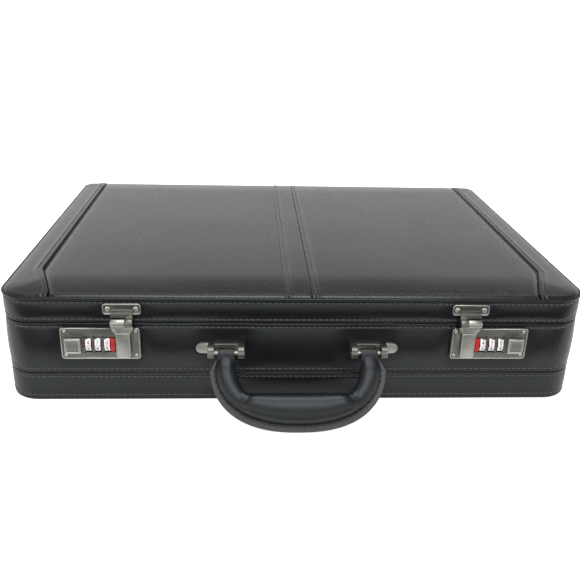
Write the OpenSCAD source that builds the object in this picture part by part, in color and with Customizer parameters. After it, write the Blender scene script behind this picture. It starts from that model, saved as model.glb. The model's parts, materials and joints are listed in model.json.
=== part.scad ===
// Hard-framed attache case: expanding base tray, main frame, hinged lid, two combination
// locks with drop-down hasps, and a padded swing handle.
// Millimetres. +X is to the right, +Y to the rear, +Z up. The origin is the centre of the
// bottom face, and the front with its locks and handle faces -Y.

/* [Case] */
// Outer width of the case
case_w = 457; // [430:1:480]
// Outer depth of the case, front face to rear face
case_d = 340; // [320:1:360]
// Radius of the two front vertical corners
front_r = 24; // [20:1:28]
// Radius of the two rear vertical corners
rear_r = 8; // [8:1:12]
// Height of the base tray that the frame lifts away from when the case is expanded
base_h = 24.4; // [22:0.1:26]
// Height of the frame's upper edge, where the lid parts from it
frame_top = 67.6; // [66:0.1:68]
// Height of the welt round the top of the lid
welt_z = 87.2; // [86:0.1:90]
// Radius of the roll between the welt and the flat top
roll_r = 4.1; // [3:0.1:6]

/* [Walls] */
// Thickness of the leather
skin = 1.2; // [0.8:0.1:1.6]
// Thickness of the board in every wall
board = 6.2; // [5:0.1:6.6]
// Thickness of the fabric lining
lining = 0.8; // [0.5:0.1:1]
// Thickness of the bottom board
floor_t = 3.2; // [2:0.1:5]
// Thickness of the wall that telescopes inside the frame
expander_t = 2.5; // [2:0.1:3]
// Height of that wall's upper edge
expander_top = 56.8; // [52:0.1:57]

/* [Locks] */
// Distance from the case's middle to a lock plate's centre
lock_x = 151.8; // [140:0.1:160]
// Height of a lock plate's centre
lock_z = 51.5; // [51:0.1:52]
// Lock plate's width
lock_w = 60.5; // [60:0.1:64]
// Lock plate's height
lock_h = 26.5; // [26:0.1:27]
// Circumscribed radius of a ten-sided number dial
dial_r = 8.2; // [8:0.1:8.2]
// Width of a number dial
dial_w = 4.4; // [4:0.1:4.6]
// Distance between neighbouring dials
dial_pitch = 7.2; // [7:0.1:7.4]
// Travel of the lock button
button_travel = 1.5; // [1:0.1:1.6]

/* [Handle] */
// Distance from the case's middle to the middle of a handle bracket
bracket_x = 55.4; // [50:0.1:60]
// Height of the pins that the handle swings on
handle_pin_z = 46.5; // [45:0.1:48]
// Angle of the handle below the horizontal at rest
handle_tilt = 47.5; // [30:0.5:47.5]
// Radius of the padded grip
grip_r = 11.2; // [10:0.1:11.5]

/* [Hidden] */
$fn = 48;
gap = 0.3;                          // least space between pieces that move apart
front_y = -case_d / 2;
rear_y = case_d / 2;
side_x = case_w / 2;
frame_z = base_h + 0.5;             // underside of the frame
lid_z = frame_top + 0.6;            // underside of the lid
crown_z = welt_z + 1.2;             // top of the welt, where the top leather starts
liner_in = skin + board;            // how far in the linings start
wall_in = liner_in + lining;        // how far in the finished inner face is
expander_in = wall_in + 1.3;        // outer face of the telescoping wall, sides and rear
expander_front = 6;                 // further in at the front, where it clears the locks
floor_z = skin + floor_t;           // top of the bottom board

hasp_x = 134.3;                     // middle of a hasp
hasp_pin = [front_y - 5.2, 70];     // hasp pivot in Y and Z
hasp_half = 8.2;                    // half the knuckle's width
hasp_r = 3.3;
hasp_split = 2.6;                   // the knuckle's joint, measured inward from its middle
hasp_plate_z = [75.6, 84.6];        // lower and upper edge of the screwed plate
hasp_plate_half = 14.5;             // half its width
hasp_screw_dx = 10.6;
tongue_half = 5.5;                  // half the tongue's width
tongue_low = 40.2;                  // its lower edge
tongue_t = 1.8;
shoulder_z = [60.6, 63.8];          // where the tongue widens to the knuckle
hook_half = 2.2;
hook_z = [50.5, 55];
catch_half = 2.8;                   // half the slot that the hook drops into
catch_z = 48.5;                     // its lower end
tongue_y = front_y - 2.9;           // back of the tongue
plate_face = front_y - 1.9;         // front of the lock plate's field
plate_rim = front_y - 2.5;          // front of its raised rim
mech_z = lock_z - 1.3;              // height of the dial axle and of the button
dial_x = 154;                       // middle dial
dial_y = front_y + 4.1;             // dial axle
axle_r = 1.5;
run = 0.06;                         // radial clearance of a running fit
window = [139.6, 164.6, mech_z - 7.4, mech_z + 7.4];
slot = [2.6, 3.65];                 // a dial's slot in the plate, inward and outward of its middle
nub = [2.9, 3.35];                  // a nub of the reset slide, outward of a dial's middle
nub_half = 2;                       // half its height
button = [166.6, 179, mech_z - 6.5, mech_z + 6.3];
stem = [169.8, 174.8, mech_z - 3, mech_z + 3];
spine_z = [mech_z + 8.6, mech_z + 10];
slide_z = [mech_z + 10.5, mech_z + 12];
back_y = dial_y + dial_r + 0.4;     // inside of the lock's rear cover
screw_r = 1.1;
lock_screw = [27, 10.2];            // lock plate screws from its centre, across and up
lock_screw_r = 1.7;                 // their heads
hasp_screw_r = 2.2;
recess_half = 9.2;                  // half the height of the hollow behind the dials

handle_y = front_y - 8.5;           // handle pins
handle_pin_r = 1.5;
loop_r = 4;                         // leather loop round a pin
loop_half = 6.4;                    // half its width
grip_t = 43.8;                      // distance of the grip's middle from the pins
grip_half = 37;                     // half the straight grip's length
lug_r = 4.2;                        // bracket lugs and leaf end
post_dx = [-11.2, 11.5];            // riveted posts behind a bracket
post_r = 2;
washer_r = 3.6;
eye_r = 2.9;                        // eye of the steel strap round a pin

hinge_x = 150;                      // middle of each rear hinge
hinge_half = 25;
hinge_y = rear_y + 3;
hinge_z = (frame_top + lid_z) / 2;
knuckle_r = 2.3;
knuckle_half = 9.8;                 // half the lid's knuckle, between the frame's two
rivet_dx = [-18, 0, 18];
rivet_dz = 8;                       // rivets above and below the hinge axis
hinge_pin_r = 1.2;                  // hinge and hasp pins

strip_half = 10.5;                  // half the top's centre strip
seam_x = 205.5;                     // side seam over most of the depth
seam_front_x = 190;                 // side seam at the front edge
seam_bend_y = front_y + 52;         // where the side seam turns inward
seam_end_y = front_y + 7;
pocket_half = [175, 115];           // half the lid pocket's width and depth
pocket_d = 4.6;                     // its depth below the lid's lining
pocket_t = 1.4;                     // its cloth and stiffener

stay_arm = 90;                      // between the pivots of each stay arm
stay_angle = 4;                     // of the arms either side of the hinge's own height
stay_a = [hinge_y - stay_arm * cos(stay_angle), hinge_z - stay_arm * sin(stay_angle)];
stay_b = [stay_a.x, hinge_z + stay_arm * sin(stay_angle)];
stay_m = [stay_a.x - stay_arm * cos(stay_angle), hinge_z];
stay_x = side_x - wall_in;          // inner face of the side walls
stay_r = 3.2;
stay_t = 1.2;                       // thickness of a stay arm
stay_out = [2.4, 3.9];              // outer reach of the lower and upper arm from the wall

// Points of a squared-off curve from [half, start] down to [0, reach], for x >= 0
function bow(half, start, reach, power) = [
    for (a = [0 : 10 : 90])
        [half * pow(cos(a), 2 / power), start + (reach - start) * pow(sin(a), 2 / power)]
];

function mirrored(points) = [
    for (i = [len(points) - 1 : -1 : 0]) [-points[i].x, points[i].y]
];

// Half outlines of the handle, in X and distance from the pins
body_bow = bow(63.8, 11, 56.1, 2.27);
flange_bow = bow(67.9, 11, 61.2, 2.4);
inner_half = [[0, 31.5], [39.6, 31.5], [45.5, 22], [48, 11]];
strap_half = [
    [0, grip_t - 3], [37.5, grip_t - 3], [52, 25], [52, 0], [58, 0], [58, 26], [38, grip_t + 3],
    [0, grip_t + 3]
];

// ---- helpers ----

// A box between two corners
module block(lo, hi) {
    translate(lo) cube(hi - lo);
}

// A rod along Y from y0 to y1
module rod_y(r, y0, y1) {
    translate([0, y1, 0]) rotate([90, 0, 0]) cylinder(h = y1 - y0, r = r);
}

// A rod along X from x0 to x1
module rod_x(r, x0, x1) {
    translate([x0, 0, 0]) rotate([0, 90, 0]) cylinder(h = x1 - x0, r = r);
}

// The right-hand piece as drawn, or its mirror image for the left
module on_side(s) {
    if (s > 0) {
        children();
    } else {
        mirror([1, 0, 0]) children();
    }
}

module both_sides() {
    for (s = [-1, 1]) on_side(s) children();
}

// A rectangle in X and Z with round corners, from y0 back to y1
module plate_xz(x0, x1, z0, z1, r, y0, y1) {
    translate([0, y1, 0]) rotate([90, 0, 0]) linear_extrude(y1 - y0) {
        translate([x0 + r, z0]) square([x1 - x0 - 2 * r, z1 - z0]);
        translate([x0, z0 + r]) square([x1 - x0, z1 - z0 - 2 * r]);
        for (x = [x0 + r, x1 - r]) {
            for (z = [z0 + r, z1 - r]) {
                translate([x, z]) circle(r);
            }
        }
    }
}

// The case's outline, moved in by inset, and by extra more at the front
module plan(inset, extra = 0) {
    rf = max(front_r - inset, 2);
    rr = max(rear_r - inset, 0.5);
    x = side_x - inset;
    y0 = front_y + inset + extra;
    y1 = rear_y - inset;
    translate([-x, y0 + rf]) square([2 * x, y1 - rr - y0 - rf]);
    translate([-x + rf, y0]) square([2 * (x - rf), rf + 1]);
    translate([-x + rr, y1 - rr - 1]) square([2 * (x - rr), rr + 1]);
    for (s = [-1, 1]) {
        translate([s * (x - rf), y0 + rf]) circle(rf);
        translate([s * (x - rr), y1 - rr]) circle(rr);
    }
}

module slab(inset, z0, z1, extra = 0) {
    translate([0, 0, z0]) linear_extrude(z1 - z0) plan(inset, extra);
}

// A wall that follows the outline, between two insets
module ring(outer, inner, z0, z1, extra = 0) {
    difference() {
        slab(outer, z0, z1, extra);
        slab(inner, z0 - 1, z1 + 1, extra);
    }
}

// The lid's rounded top, moved in by inset
module crown(inset) {
    r = roll_r - inset;
    hull() {
        for (a = [0 : 15 : 90]) {
            slab(inset + r * (1 - cos(a)), crown_z, crown_z + r * sin(a) + 0.01);
        }
    }
}

// ---- holes that pieces in the front and rear walls share ----

// What each lock needs cut from the leather, board and lining behind its plate
module lock_cut() {
    both_sides() {
        dial_recess(front_y - 1, back_y + 1);
        block([window[0] - 3, front_y - 1, mech_z + 7], [stem[1] + 3.4, front_y + 3, slide_z[1] + gap]);
        block([stem[0] - 0.5, front_y - 1, stem[2] - 0.5], [stem[1] + 3.4, front_y + 3, slide_z[0]]);
        block([hasp_x - catch_half - 0.2, front_y - 1, catch_z - gap],
              [hasp_x + catch_half + 0.2, front_y + 3, frame_top + 1]);
        at_lock_screws() rod_y(screw_r, front_y - 1, front_y + liner_in + 1);
    }
}

// The hollow that the three dials turn in
module dial_recess(y0, y1) {
    block([window[0] - 0.6, y0, mech_z - recess_half], [window[1] + 0.8, y1, mech_z + recess_half]);
}

module at_lock_screws() {
    for (x = [-1, 1]) {
        for (z = [-1, 1]) {
            translate([lock_x + x * lock_screw.x, 0, lock_z + z * lock_screw.y]) children();
        }
    }
}

module at_bracket_posts() {
    for (x = post_dx) {
        translate([bracket_x + x, 0, handle_pin_z + 1]) children();
    }
}

module at_hasp_screws() {
    for (x = [-hasp_screw_dx, hasp_screw_dx]) {
        translate([hasp_x + x, 0, (hasp_plate_z[0] + hasp_plate_z[1]) / 2]) children();
    }
}

// up is 1 for the lid's rivets and -1 for the frame's
module at_hinge_rivets(up) {
    for (x = rivet_dx) {
        translate([hinge_x + x, 0, hinge_z + up * rivet_dz]) children();
    }
}

// ---- base ----

module base_bottom_leather() {
    color([0.07, 0.07, 0.08]) slab(0, 0, skin);
}

module base_band_leather() {
    color([0.07, 0.07, 0.08]) ring(0, skin, skin, base_h);
}

module base_tray() {
    color([0.55, 0.42, 0.28]) difference() {
        slab(skin, skin, base_h);
        slab(expander_in, floor_z, base_h + 1, expander_front - 2);
    }
}

module expander_wall() {
    color([0.12, 0.12, 0.13]) {
        difference() {
            slab(expander_in, floor_z, expander_top, expander_front);
            slab(expander_in + expander_t, floor_z - 1, expander_top + 1, expander_front);
        }
    }
}

module base_lining() {
    color([0.25, 0.25, 0.27]) {
        slab(expander_in + expander_t, floor_z, floor_z + lining, expander_front);
    }
}

// ---- frame ----

module frame_cuts() {
    lock_cut();
    both_sides() {
        at_bracket_posts() rod_y(post_r, front_y - 1, front_y + liner_in);
        at_hinge_rivets(-1) rod_y(screw_r, rear_y - liner_in, rear_y + 1);
    }
}

module frame_board() {
    color([0.55, 0.42, 0.28]) difference() {
        ring(skin, liner_in, frame_z, frame_top);
        frame_cuts();
    }
}

module frame_leather() {
    color([0.07, 0.07, 0.08]) difference() {
        ring(0, skin, frame_z, frame_top);
        frame_cuts();
    }
}

module frame_lining() {
    color([0.25, 0.25, 0.27]) difference() {
        ring(liner_in, wall_in, frame_z, frame_top);
        lock_cut();
        both_sides() at_bracket_posts() rod_y(washer_r, front_y, front_y + wall_in + 1);
    }
}

// The plate's raised rim, the slots for the dials and the button, and the hasp's open catch slot
module lock_plate() {
    x0 = lock_x - lock_w / 2;
    x1 = lock_x + lock_w / 2;
    z0 = lock_z - lock_h / 2;
    z1 = lock_z + lock_h / 2;
    difference() {
        plate_xz(x0, x1, z0, z1, 2.4, plate_rim, front_y);
        plate_xz(x0 + 1, x1 - 1, z0 + 1, z1 - 1, 1.6, plate_rim - 1, plate_face);
        for (place = [-1 : 1]) {
            x = dial_x + place * dial_pitch;
            block([place < 0 ? window[0] : x - slot[0], plate_rim - 1, window[2]],
                  [x + slot[1], front_y + 1, window[3]]);
        }
        block([stem[0] - gap, plate_rim - 1, stem[2] - gap],
              [stem[1] + button_travel + gap, front_y + 1, stem[3] + gap]);
        block([hasp_x - catch_half, plate_rim - 1, catch_z], [hasp_x + catch_half, front_y + 1, z1 + 1]);
        at_lock_screws() rod_y(screw_r, plate_rim - 1, front_y + 1);
    }
}

module lock_plate_left() {
    color([0.68, 0.68, 0.65]) on_side(-1) lock_plate();
}

module lock_plate_right() {
    color([0.68, 0.68, 0.65]) on_side(1) lock_plate();
}

// A pressed cover on the inside of the wall, round the dials
module lock_covers() {
    face = front_y + wall_in;
    color([0.35, 0.35, 0.36]) both_sides() difference() {
        block([window[0] - 3, face, mech_z - recess_half - 1.8],
              [window[1] + 3, back_y + 0.6, mech_z + recess_half + 1.8]);
        dial_recess(face - 1, back_y);
        translate([0, dial_y, mech_z]) rod_x(axle_r, window[0] - 2, window[1] + 2);
    }
}

module dial_axles() {
    color([0.6, 0.6, 0.6]) both_sides() {
        translate([0, dial_y, mech_z]) rod_x(axle_r, window[0] - 0.6, window[1] + 0.8);
    }
}

module lock_screws() {
    color([0.75, 0.75, 0.72]) both_sides() at_lock_screws() {
        rod_y(lock_screw_r, plate_face - 0.7, plate_face);
        rod_y(screw_r, plate_face, front_y + liner_in - 1);
    }
}

// Base plate, two lugs with the pin through them, the bar above, and the leaf-shaped end
module handle_bracket() {
    z0 = handle_pin_z - 4.6;
    z1 = handle_pin_z + 5.4;
    difference() {
        union() {
            plate_xz(bracket_x - 14, bracket_x + 14.2, z0, z1, 1, front_y - 2, front_y);
            for (x = [bracket_x - 14, bracket_x + 9.3]) {
                block([x, handle_y, z0 + 0.4], [x + 4.9, front_y - 1, z1]);
                translate([0, handle_y, handle_pin_z]) rod_x(lug_r, x, x + 4.9);
            }
            block([bracket_x - 10, front_y - 3.4, z1 - 1.6], [bracket_x + 10, front_y - 1, z1]);
            translate([bracket_x + 13, 0, handle_pin_z + 1]) {
                rod_y(lug_r, front_y - 2.6, front_y);
                block([0, front_y - 2.6, -lug_r], [6.4, front_y, lug_r]);
                translate([6.4, 0, 0]) rod_y(lug_r, front_y - 2.6, front_y);
            }
        }
        translate([0, handle_y, handle_pin_z]) {
            rod_x(handle_pin_r, bracket_x - 15, bracket_x + 15);
        }
    }
    at_bracket_posts() rod_y(post_r, front_y - 1, front_y + liner_in);
}

module handle_bracket_left() {
    color([0.66, 0.66, 0.62]) on_side(-1) handle_bracket();
}

module handle_bracket_right() {
    color([0.66, 0.66, 0.62]) on_side(1) handle_bracket();
}

module handle_pins() {
    color([0.8, 0.8, 0.8]) both_sides() translate([0, handle_y, handle_pin_z]) {
        rod_x(handle_pin_r, bracket_x - 13.8, bracket_x + 14);
    }
}

// Washers under the riveted ends of the bracket posts
module bracket_washers() {
    color([0.5, 0.5, 0.5]) both_sides() {
        at_bracket_posts() rod_y(washer_r, front_y + liner_in, front_y + wall_in);
    }
}

// One leaf of a rear hinge; up is 1 for the lid's leaf, and -1 for the frame's
module hinge_leaf(up) {
    spans = up > 0 ? [[-knuckle_half, knuckle_half]]
                   : [[-hinge_half, -knuckle_half - 0.4], [knuckle_half + 0.4, hinge_half]];
    bore = up > 0 ? hinge_pin_r + run : hinge_pin_r;
    translate([hinge_x, 0, hinge_z]) difference() {
        union() {
            block([-hinge_half, rear_y, up > 0 ? 3.4 : -14], [hinge_half, rear_y + 1, up > 0 ? 14 : -3.4]);
            for (span = spans) {
                block([span[0], rear_y, up > 0 ? 0.6 : -4], [span[1], rear_y + 1, up > 0 ? 4 : -0.6]);
                block([span[0], rear_y + 0.2, up > 0 ? 0.6 : -1.8], [span[1], hinge_y, up > 0 ? 1.8 : -0.6]);
                translate([0, hinge_y, 0]) rod_x(knuckle_r, span[0], span[1]);
            }
        }
        translate([0, hinge_y, 0]) rod_x(bore, -hinge_half - 1, hinge_half + 1);
        for (x = rivet_dx) {
            translate([x, 0, up * rivet_dz]) rod_y(screw_r, rear_y - 1, rear_y + 2);
        }
    }
}

module hinge_leaf_frame_left() {
    color([0.6, 0.6, 0.58]) on_side(-1) hinge_leaf(-1);
}

module hinge_leaf_frame_right() {
    color([0.6, 0.6, 0.58]) on_side(1) hinge_leaf(-1);
}

module hinge_pins() {
    color([0.6, 0.6, 0.58]) both_sides() translate([hinge_x, hinge_y, hinge_z]) {
        rod_x(hinge_pin_r, -hinge_half, hinge_half);
    }
}

module rivets(up) {
    color([0.7, 0.7, 0.68]) both_sides() at_hinge_rivets(up) {
        rod_y(screw_r, rear_y - liner_in, rear_y + 1);
        rod_y(2, rear_y + 1, rear_y + 1.6);
    }
}

module frame_rivets() {
    rivets(-1);
}

// A plate on the side wall with the pin of a stay's arm; reach is the pin's length
module stay_bracket(pivot, z0, z1, reach) {
    block([stay_x - 0.8, pivot.x - 8, z0], [stay_x, pivot.x + 8, z1]);
    translate([0, pivot.x, pivot.y]) rod_x(axle_r, stay_x - reach, stay_x - 0.4);
}

module stay_brackets_frame() {
    color([0.6, 0.6, 0.58]) both_sides() stay_bracket(stay_a, stay_a.y - 3.2, frame_top - 0.6, 2.7);
}

// ---- lid ----

module lid_cuts() {
    both_sides() {
        at_hasp_screws() rod_y(screw_r, front_y - 1, front_y + liner_in - 1);
        at_hinge_rivets(1) rod_y(screw_r, rear_y - liner_in, rear_y + 1);
    }
}

module lid_ring_board() {
    color([0.55, 0.42, 0.28]) difference() {
        ring(skin, liner_in, lid_z, crown_z);
        lid_cuts();
    }
}

module lid_top_board() {
    color([0.55, 0.42, 0.28]) crown(skin);
}

module lid_band_leather() {
    color([0.07, 0.07, 0.08]) difference() {
        ring(0, skin, lid_z, welt_z);
        lid_cuts();
    }
}

module lid_welt() {
    color([0.05, 0.05, 0.06]) ring(-0.4, skin, welt_z, crown_z);
}

module lid_lining() {
    color([0.25, 0.25, 0.27]) {
        ring(liner_in, wall_in, lid_z, crown_z);
        slab(wall_in, crown_z - lining, crown_z);
    }
}

// The top leather between two outlines seen from above
module top_leather() {
    difference() {
        crown(0);
        crown(skin);
        translate([0, 0, crown_z - 5]) linear_extrude(4.99) square([case_w + 4, case_d + 4], center = true);
    }
}

// Outline of one side panel, outboard of its seam
module side_outline() {
    polygon([
        [side_x + 2, front_y - 2], [seam_front_x, front_y - 2], [seam_front_x, seam_end_y],
        [seam_x, seam_bend_y], [seam_x, rear_y + 2], [side_x + 2, rear_y + 2]
    ]);
}

module panel_outline() {
    difference() {
        translate([strip_half, front_y - 2]) square([side_x - strip_half, case_d + 4]);
        side_outline();
    }
}

module cut_from_top() {
    intersection() {
        top_leather();
        translate([0, 0, crown_z - 1]) linear_extrude(roll_r + 3) children();
    }
}

module lid_panel_left() {
    color([0.2, 0.21, 0.2]) on_side(-1) cut_from_top() panel_outline();
}

module lid_panel_right() {
    color([0.2, 0.21, 0.2]) on_side(1) cut_from_top() panel_outline();
}

module lid_centre_strip() {
    color([0.18, 0.19, 0.18]) cut_from_top() {
        translate([-strip_half, front_y - 2]) square([2 * strip_half, case_d + 4]);
    }
}

module lid_side_panel_left() {
    color([0.18, 0.19, 0.18]) on_side(-1) cut_from_top() side_outline();
}

module lid_side_panel_right() {
    color([0.18, 0.19, 0.18]) on_side(1) cut_from_top() side_outline();
}

// Document pocket under the lid, open towards the front
module lid_pocket() {
    top = crown_z - lining;
    x = pocket_half.x;
    y = pocket_half.y;
    color([0.3, 0.3, 0.32]) difference() {
        block([-x, -y, top - pocket_d], [x, y, top]);
        block([-x + 3, -y - 1, top - pocket_d + pocket_t], [x - 3, y - 3, top + 1]);
    }
}

// Screwed plate with a raised rim, the folded strip below it and the fixed knuckle
module hasp_bracket() {
    x0 = hasp_x - hasp_plate_half;
    x1 = hasp_x + hasp_plate_half;
    z0 = hasp_plate_z[0];
    z1 = hasp_plate_z[1];
    inner = hasp_x - hasp_half;
    difference() {
        union() {
            difference() {
                plate_xz(x0, x1, z0, z1, 2.4, front_y - 1.8, front_y);
                plate_xz(x0 + 1, x1 - 1, z0 + 1, z1 - 1, 1.6, front_y - 3, front_y - 1.2);
            }
            block([inner, front_y - 4, 73.9], [hasp_x + hasp_half, front_y - 1.2, 78.2]);
            block([inner, front_y - 4, 70], [hasp_x - hasp_split - 0.15, front_y - 1.9, 74.2]);
            translate([0, hasp_pin.x, hasp_pin.y]) rod_x(hasp_r, inner, hasp_x - hasp_split - 0.15);
        }
        translate([0, hasp_pin.x, hasp_pin.y]) rod_x(hinge_pin_r, inner - 1, hasp_x);
        at_hasp_screws() rod_y(screw_r, front_y - 3, front_y + 1);
    }
}

module hasp_bracket_left() {
    color([0.68, 0.68, 0.65]) on_side(-1) hasp_bracket();
}

module hasp_bracket_right() {
    color([0.68, 0.68, 0.65]) on_side(1) hasp_bracket();
}

module hasp_pins() {
    color([0.7, 0.7, 0.68]) both_sides() translate([hasp_x, hasp_pin.x, hasp_pin.y]) {
        rod_x(hinge_pin_r, -hasp_half, hasp_half);
    }
}

module hasp_screws() {
    color([0.75, 0.75, 0.72]) both_sides() at_hasp_screws() {
        rod_y(hasp_screw_r, front_y - 2.1, front_y - 1.2);
        rod_y(screw_r, front_y - 1.2, front_y + liner_in - 1);
    }
}

module hinge_leaf_lid_left() {
    color([0.6, 0.6, 0.58]) on_side(-1) hinge_leaf(1);
}

module hinge_leaf_lid_right() {
    color([0.6, 0.6, 0.58]) on_side(1) hinge_leaf(1);
}

module lid_rivets() {
    rivets(1);
}

module stay_brackets_lid() {
    color([0.6, 0.6, 0.58]) both_sides() stay_bracket(stay_b, lid_z + 0.6, stay_b.y + 3.2, 4.2);
}

// ---- moving lock pieces ----

// Tongue with round lower corners, sloping shoulders, moving knuckle and the hook behind
module hasp() {
    top = hasp_pin.y - hasp_r - 0.4;
    front = tongue_y - tongue_t;
    x0 = hasp_x - tongue_half;
    x1 = hasp_x + tongue_half;
    difference() {
        union() {
            plate_xz(x0, x1, tongue_low, top - 2, 2, front, tongue_y);
            translate([0, tongue_y, 0]) rotate([90, 0, 0]) linear_extrude(tongue_t) polygon([
                [x0, shoulder_z[0]], [x1, shoulder_z[0]],
                [hasp_x + hasp_half, shoulder_z[1]], [hasp_x + hasp_half, top],
                [hasp_x - hasp_half, top], [hasp_x - hasp_half, shoulder_z[1]]
            ]);
            block([hasp_x - hasp_split + 0.15, front, top - 1], [hasp_x + hasp_half, tongue_y, 68.5]);
            translate([0, hasp_pin.x, hasp_pin.y]) {
                rod_x(hasp_r, hasp_x - hasp_split + 0.15, hasp_x + hasp_half);
            }
            block([hasp_x - hook_half, tongue_y - 0.5, hook_z[0]],
                  [hasp_x + hook_half, front_y + 1.8, hook_z[1]]);
        }
        translate([0, hasp_pin.x, hasp_pin.y]) rod_x(hinge_pin_r + run, hasp_x - 9, hasp_x + 9);
    }
}

module hasp_left() {
    color([0.7, 0.7, 0.67]) on_side(-1) hasp();
}

module hasp_right() {
    color([0.7, 0.7, 0.67]) on_side(1) hasp();
}

// Ribbed cap, stem through the plate, and the latch bar that reaches to the hasp's hook
module lock_button() {
    cap_y = plate_face - gap;
    block([button[0], cap_y - 2.6, button[2]], [button[1], cap_y, button[3]]);
    block([stem[0], cap_y - 1, stem[2]], [stem[1], front_y + 2.6, stem[3]]);
    block([stem[0] + 1, front_y + gap, stem[2]], [stem[1], front_y + 1.5, slide_z[1]]);
    block([hasp_x + 3.4, front_y + gap, slide_z[0]], [stem[1], front_y + 1.5, slide_z[1]]);
}

module lock_button_left() {
    color([0.62, 0.62, 0.58]) on_side(-1) lock_button();
}

module lock_button_right() {
    color([0.62, 0.62, 0.58]) on_side(1) lock_button();
}

// Comb with a nub beside each dial, and the tab that is pushed to set the code
module reset_slide() {
    front = front_y + gap;
    back = front_y + 1.6;
    low = mech_z - 5.4;
    tab = [window[0] + 1.2, window[0] + 4.6];
    block([tab[0], front, spine_z[0]], [dial_x + dial_pitch + nub[1], back, spine_z[1]]);
    for (place = [-1 : 1]) {
        x = dial_x + place * dial_pitch;
        block([x + nub[0], front, mech_z - nub_half], [x + nub[1], back, spine_z[1]]);
        block([x + nub[0], plate_face - 0.1, mech_z - nub_half], [x + nub[1], back, mech_z + nub_half]);
    }
    block([tab[0], front, low], [tab[1], back, spine_z[1]]);
    block([tab[0], plate_face - 0.9, low], [tab[1], back, mech_z + 5.6]);
}

module reset_slide_left() {
    color([0.75, 0.13, 0.13]) on_side(-1) reset_slide();
}

module reset_slide_right() {
    color([0.75, 0.13, 0.13]) on_side(1) reset_slide();
}

// A ten-sided dial with an edge to the front; place is -1, 0 or 1 across the window
module dial(s, place) {
    color([0.85, 0.85, 0.85]) on_side(s) translate([dial_x + place * dial_pitch, dial_y, mech_z]) {
        rotate([18, 0, 0]) difference() {
            rotate([0, 90, 0]) cylinder(h = dial_w, r = dial_r, center = true, $fn = 10);
            rod_x(axle_r + run, -dial_w, dial_w);
        }
    }
}

module dial_left_1() {
    dial(-1, 1);
}

module dial_left_2() {
    dial(-1, 0);
}

module dial_left_3() {
    dial(-1, -1);
}

module dial_right_1() {
    dial(1, -1);
}

module dial_right_2() {
    dial(1, 0);
}

module dial_right_3() {
    dial(1, 1);
}

// ---- handle ----

// Places children drawn hanging straight down from the pins at the handle's rest angle
module at_handle() {
    translate([0, handle_y, handle_pin_z]) rotate([handle_tilt - 90, 0, 0]) children();
}

// A flat shape in X and distance from the pins, given thickness
module handle_flat(thickness) {
    rotate([90, 0, 0]) linear_extrude(thickness, center = true) mirror([0, 1]) children();
}

module handle_outline(outer) {
    half = concat(inner_half, [[50, 8.5], [60, 8.5]], outer);
    polygon(half);
    mirror([1, 0]) polygon(half);
}

// Steel strap inside the handle, with an eye round each pin
module core_shape() {
    for (s = [-1, 1]) {
        translate([s * bracket_x, 0, 0]) rod_x(eye_r, -loop_half + 1, loop_half - 1);
    }
    handle_flat(2) {
        polygon(strap_half);
        mirror([1, 0]) polygon(strap_half);
    }
}

module handle_core() {
    color([0.5, 0.5, 0.5]) at_handle() difference() {
        core_shape();
        rod_x(handle_pin_r + run, -70, 70);
    }
}

module handle_leather() {
    color([0.09, 0.09, 0.1]) at_handle() difference() {
        union() {
            handle_flat(13) handle_outline(body_bow);
            translate([0, 0, -grip_t]) rod_x(grip_r, -grip_half, grip_half);
            for (s = [-1, 1]) {
                translate([s * bracket_x, 0, 0]) {
                    rod_x(loop_r, -loop_half, loop_half);
                    block([-loop_half, -3.6, -10], [loop_half, 3.6, 0]);
                }
            }
        }
        core_shape();
        rod_x(eye_r, -70, 70);
    }
}

// Stitched seam allowance along the outside of the handle
module handle_flange() {
    color([0.12, 0.12, 0.13]) at_handle() difference() {
        handle_flat(3) polygon(concat(flange_bow, mirrored(flange_bow)));
        handle_flat(20) handle_outline(body_bow);
        handle_flat(20) polygon(concat(inner_half, mirrored(inner_half)));
        translate([0, 0, -grip_t]) rod_x(grip_r, -grip_half, grip_half);
    }
}

// ---- stays ----

// An arm from one pivot to another, its inner face at reach; holes gives [pivot, radius] pairs
module stay_arm_shape(from, to, reach, holes) {
    x0 = stay_x - reach;
    difference() {
        union() {
            for (p = [from, to]) translate([0, p.x, p.y]) rod_x(stay_r, x0, x0 + stay_t);
            translate([x0, from.x, from.y]) {
                rotate([atan2(to.y - from.y, to.x - from.x), 0, 0]) {
                    translate([0, 0, -stay_r + 0.4]) cube([stay_t, stay_arm, 2 * stay_r - 0.8]);
                }
            }
        }
        for (hole = holes) {
            translate([0, hole[0].x, hole[0].y]) rod_x(hole[1], x0 - 1, x0 + stay_t + 1);
        }
    }
}

// Its middle hole is oversize, so that the two arms can fold on their own joints
module stay_lower() {
    stay_arm_shape(stay_a, stay_m, stay_out[0], [[stay_a, axle_r + run], [stay_m, axle_r + 0.4]]);
}

module stay_upper() {
    stay_arm_shape(stay_b, stay_m, stay_out[1], [[stay_b, axle_r + run]]);
    translate([0, stay_m.x, stay_m.y]) rod_x(axle_r, stay_x - 3.4, stay_x - 0.9);
}

module stay_lower_left() {
    color([0.6, 0.6, 0.58]) on_side(-1) stay_lower();
}

module stay_lower_right() {
    color([0.6, 0.6, 0.58]) on_side(1) stay_lower();
}

module stay_upper_left() {
    color([0.6, 0.6, 0.58]) on_side(-1) stay_upper();
}

module stay_upper_right() {
    color([0.6, 0.6, 0.58]) on_side(1) stay_upper();
}

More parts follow.
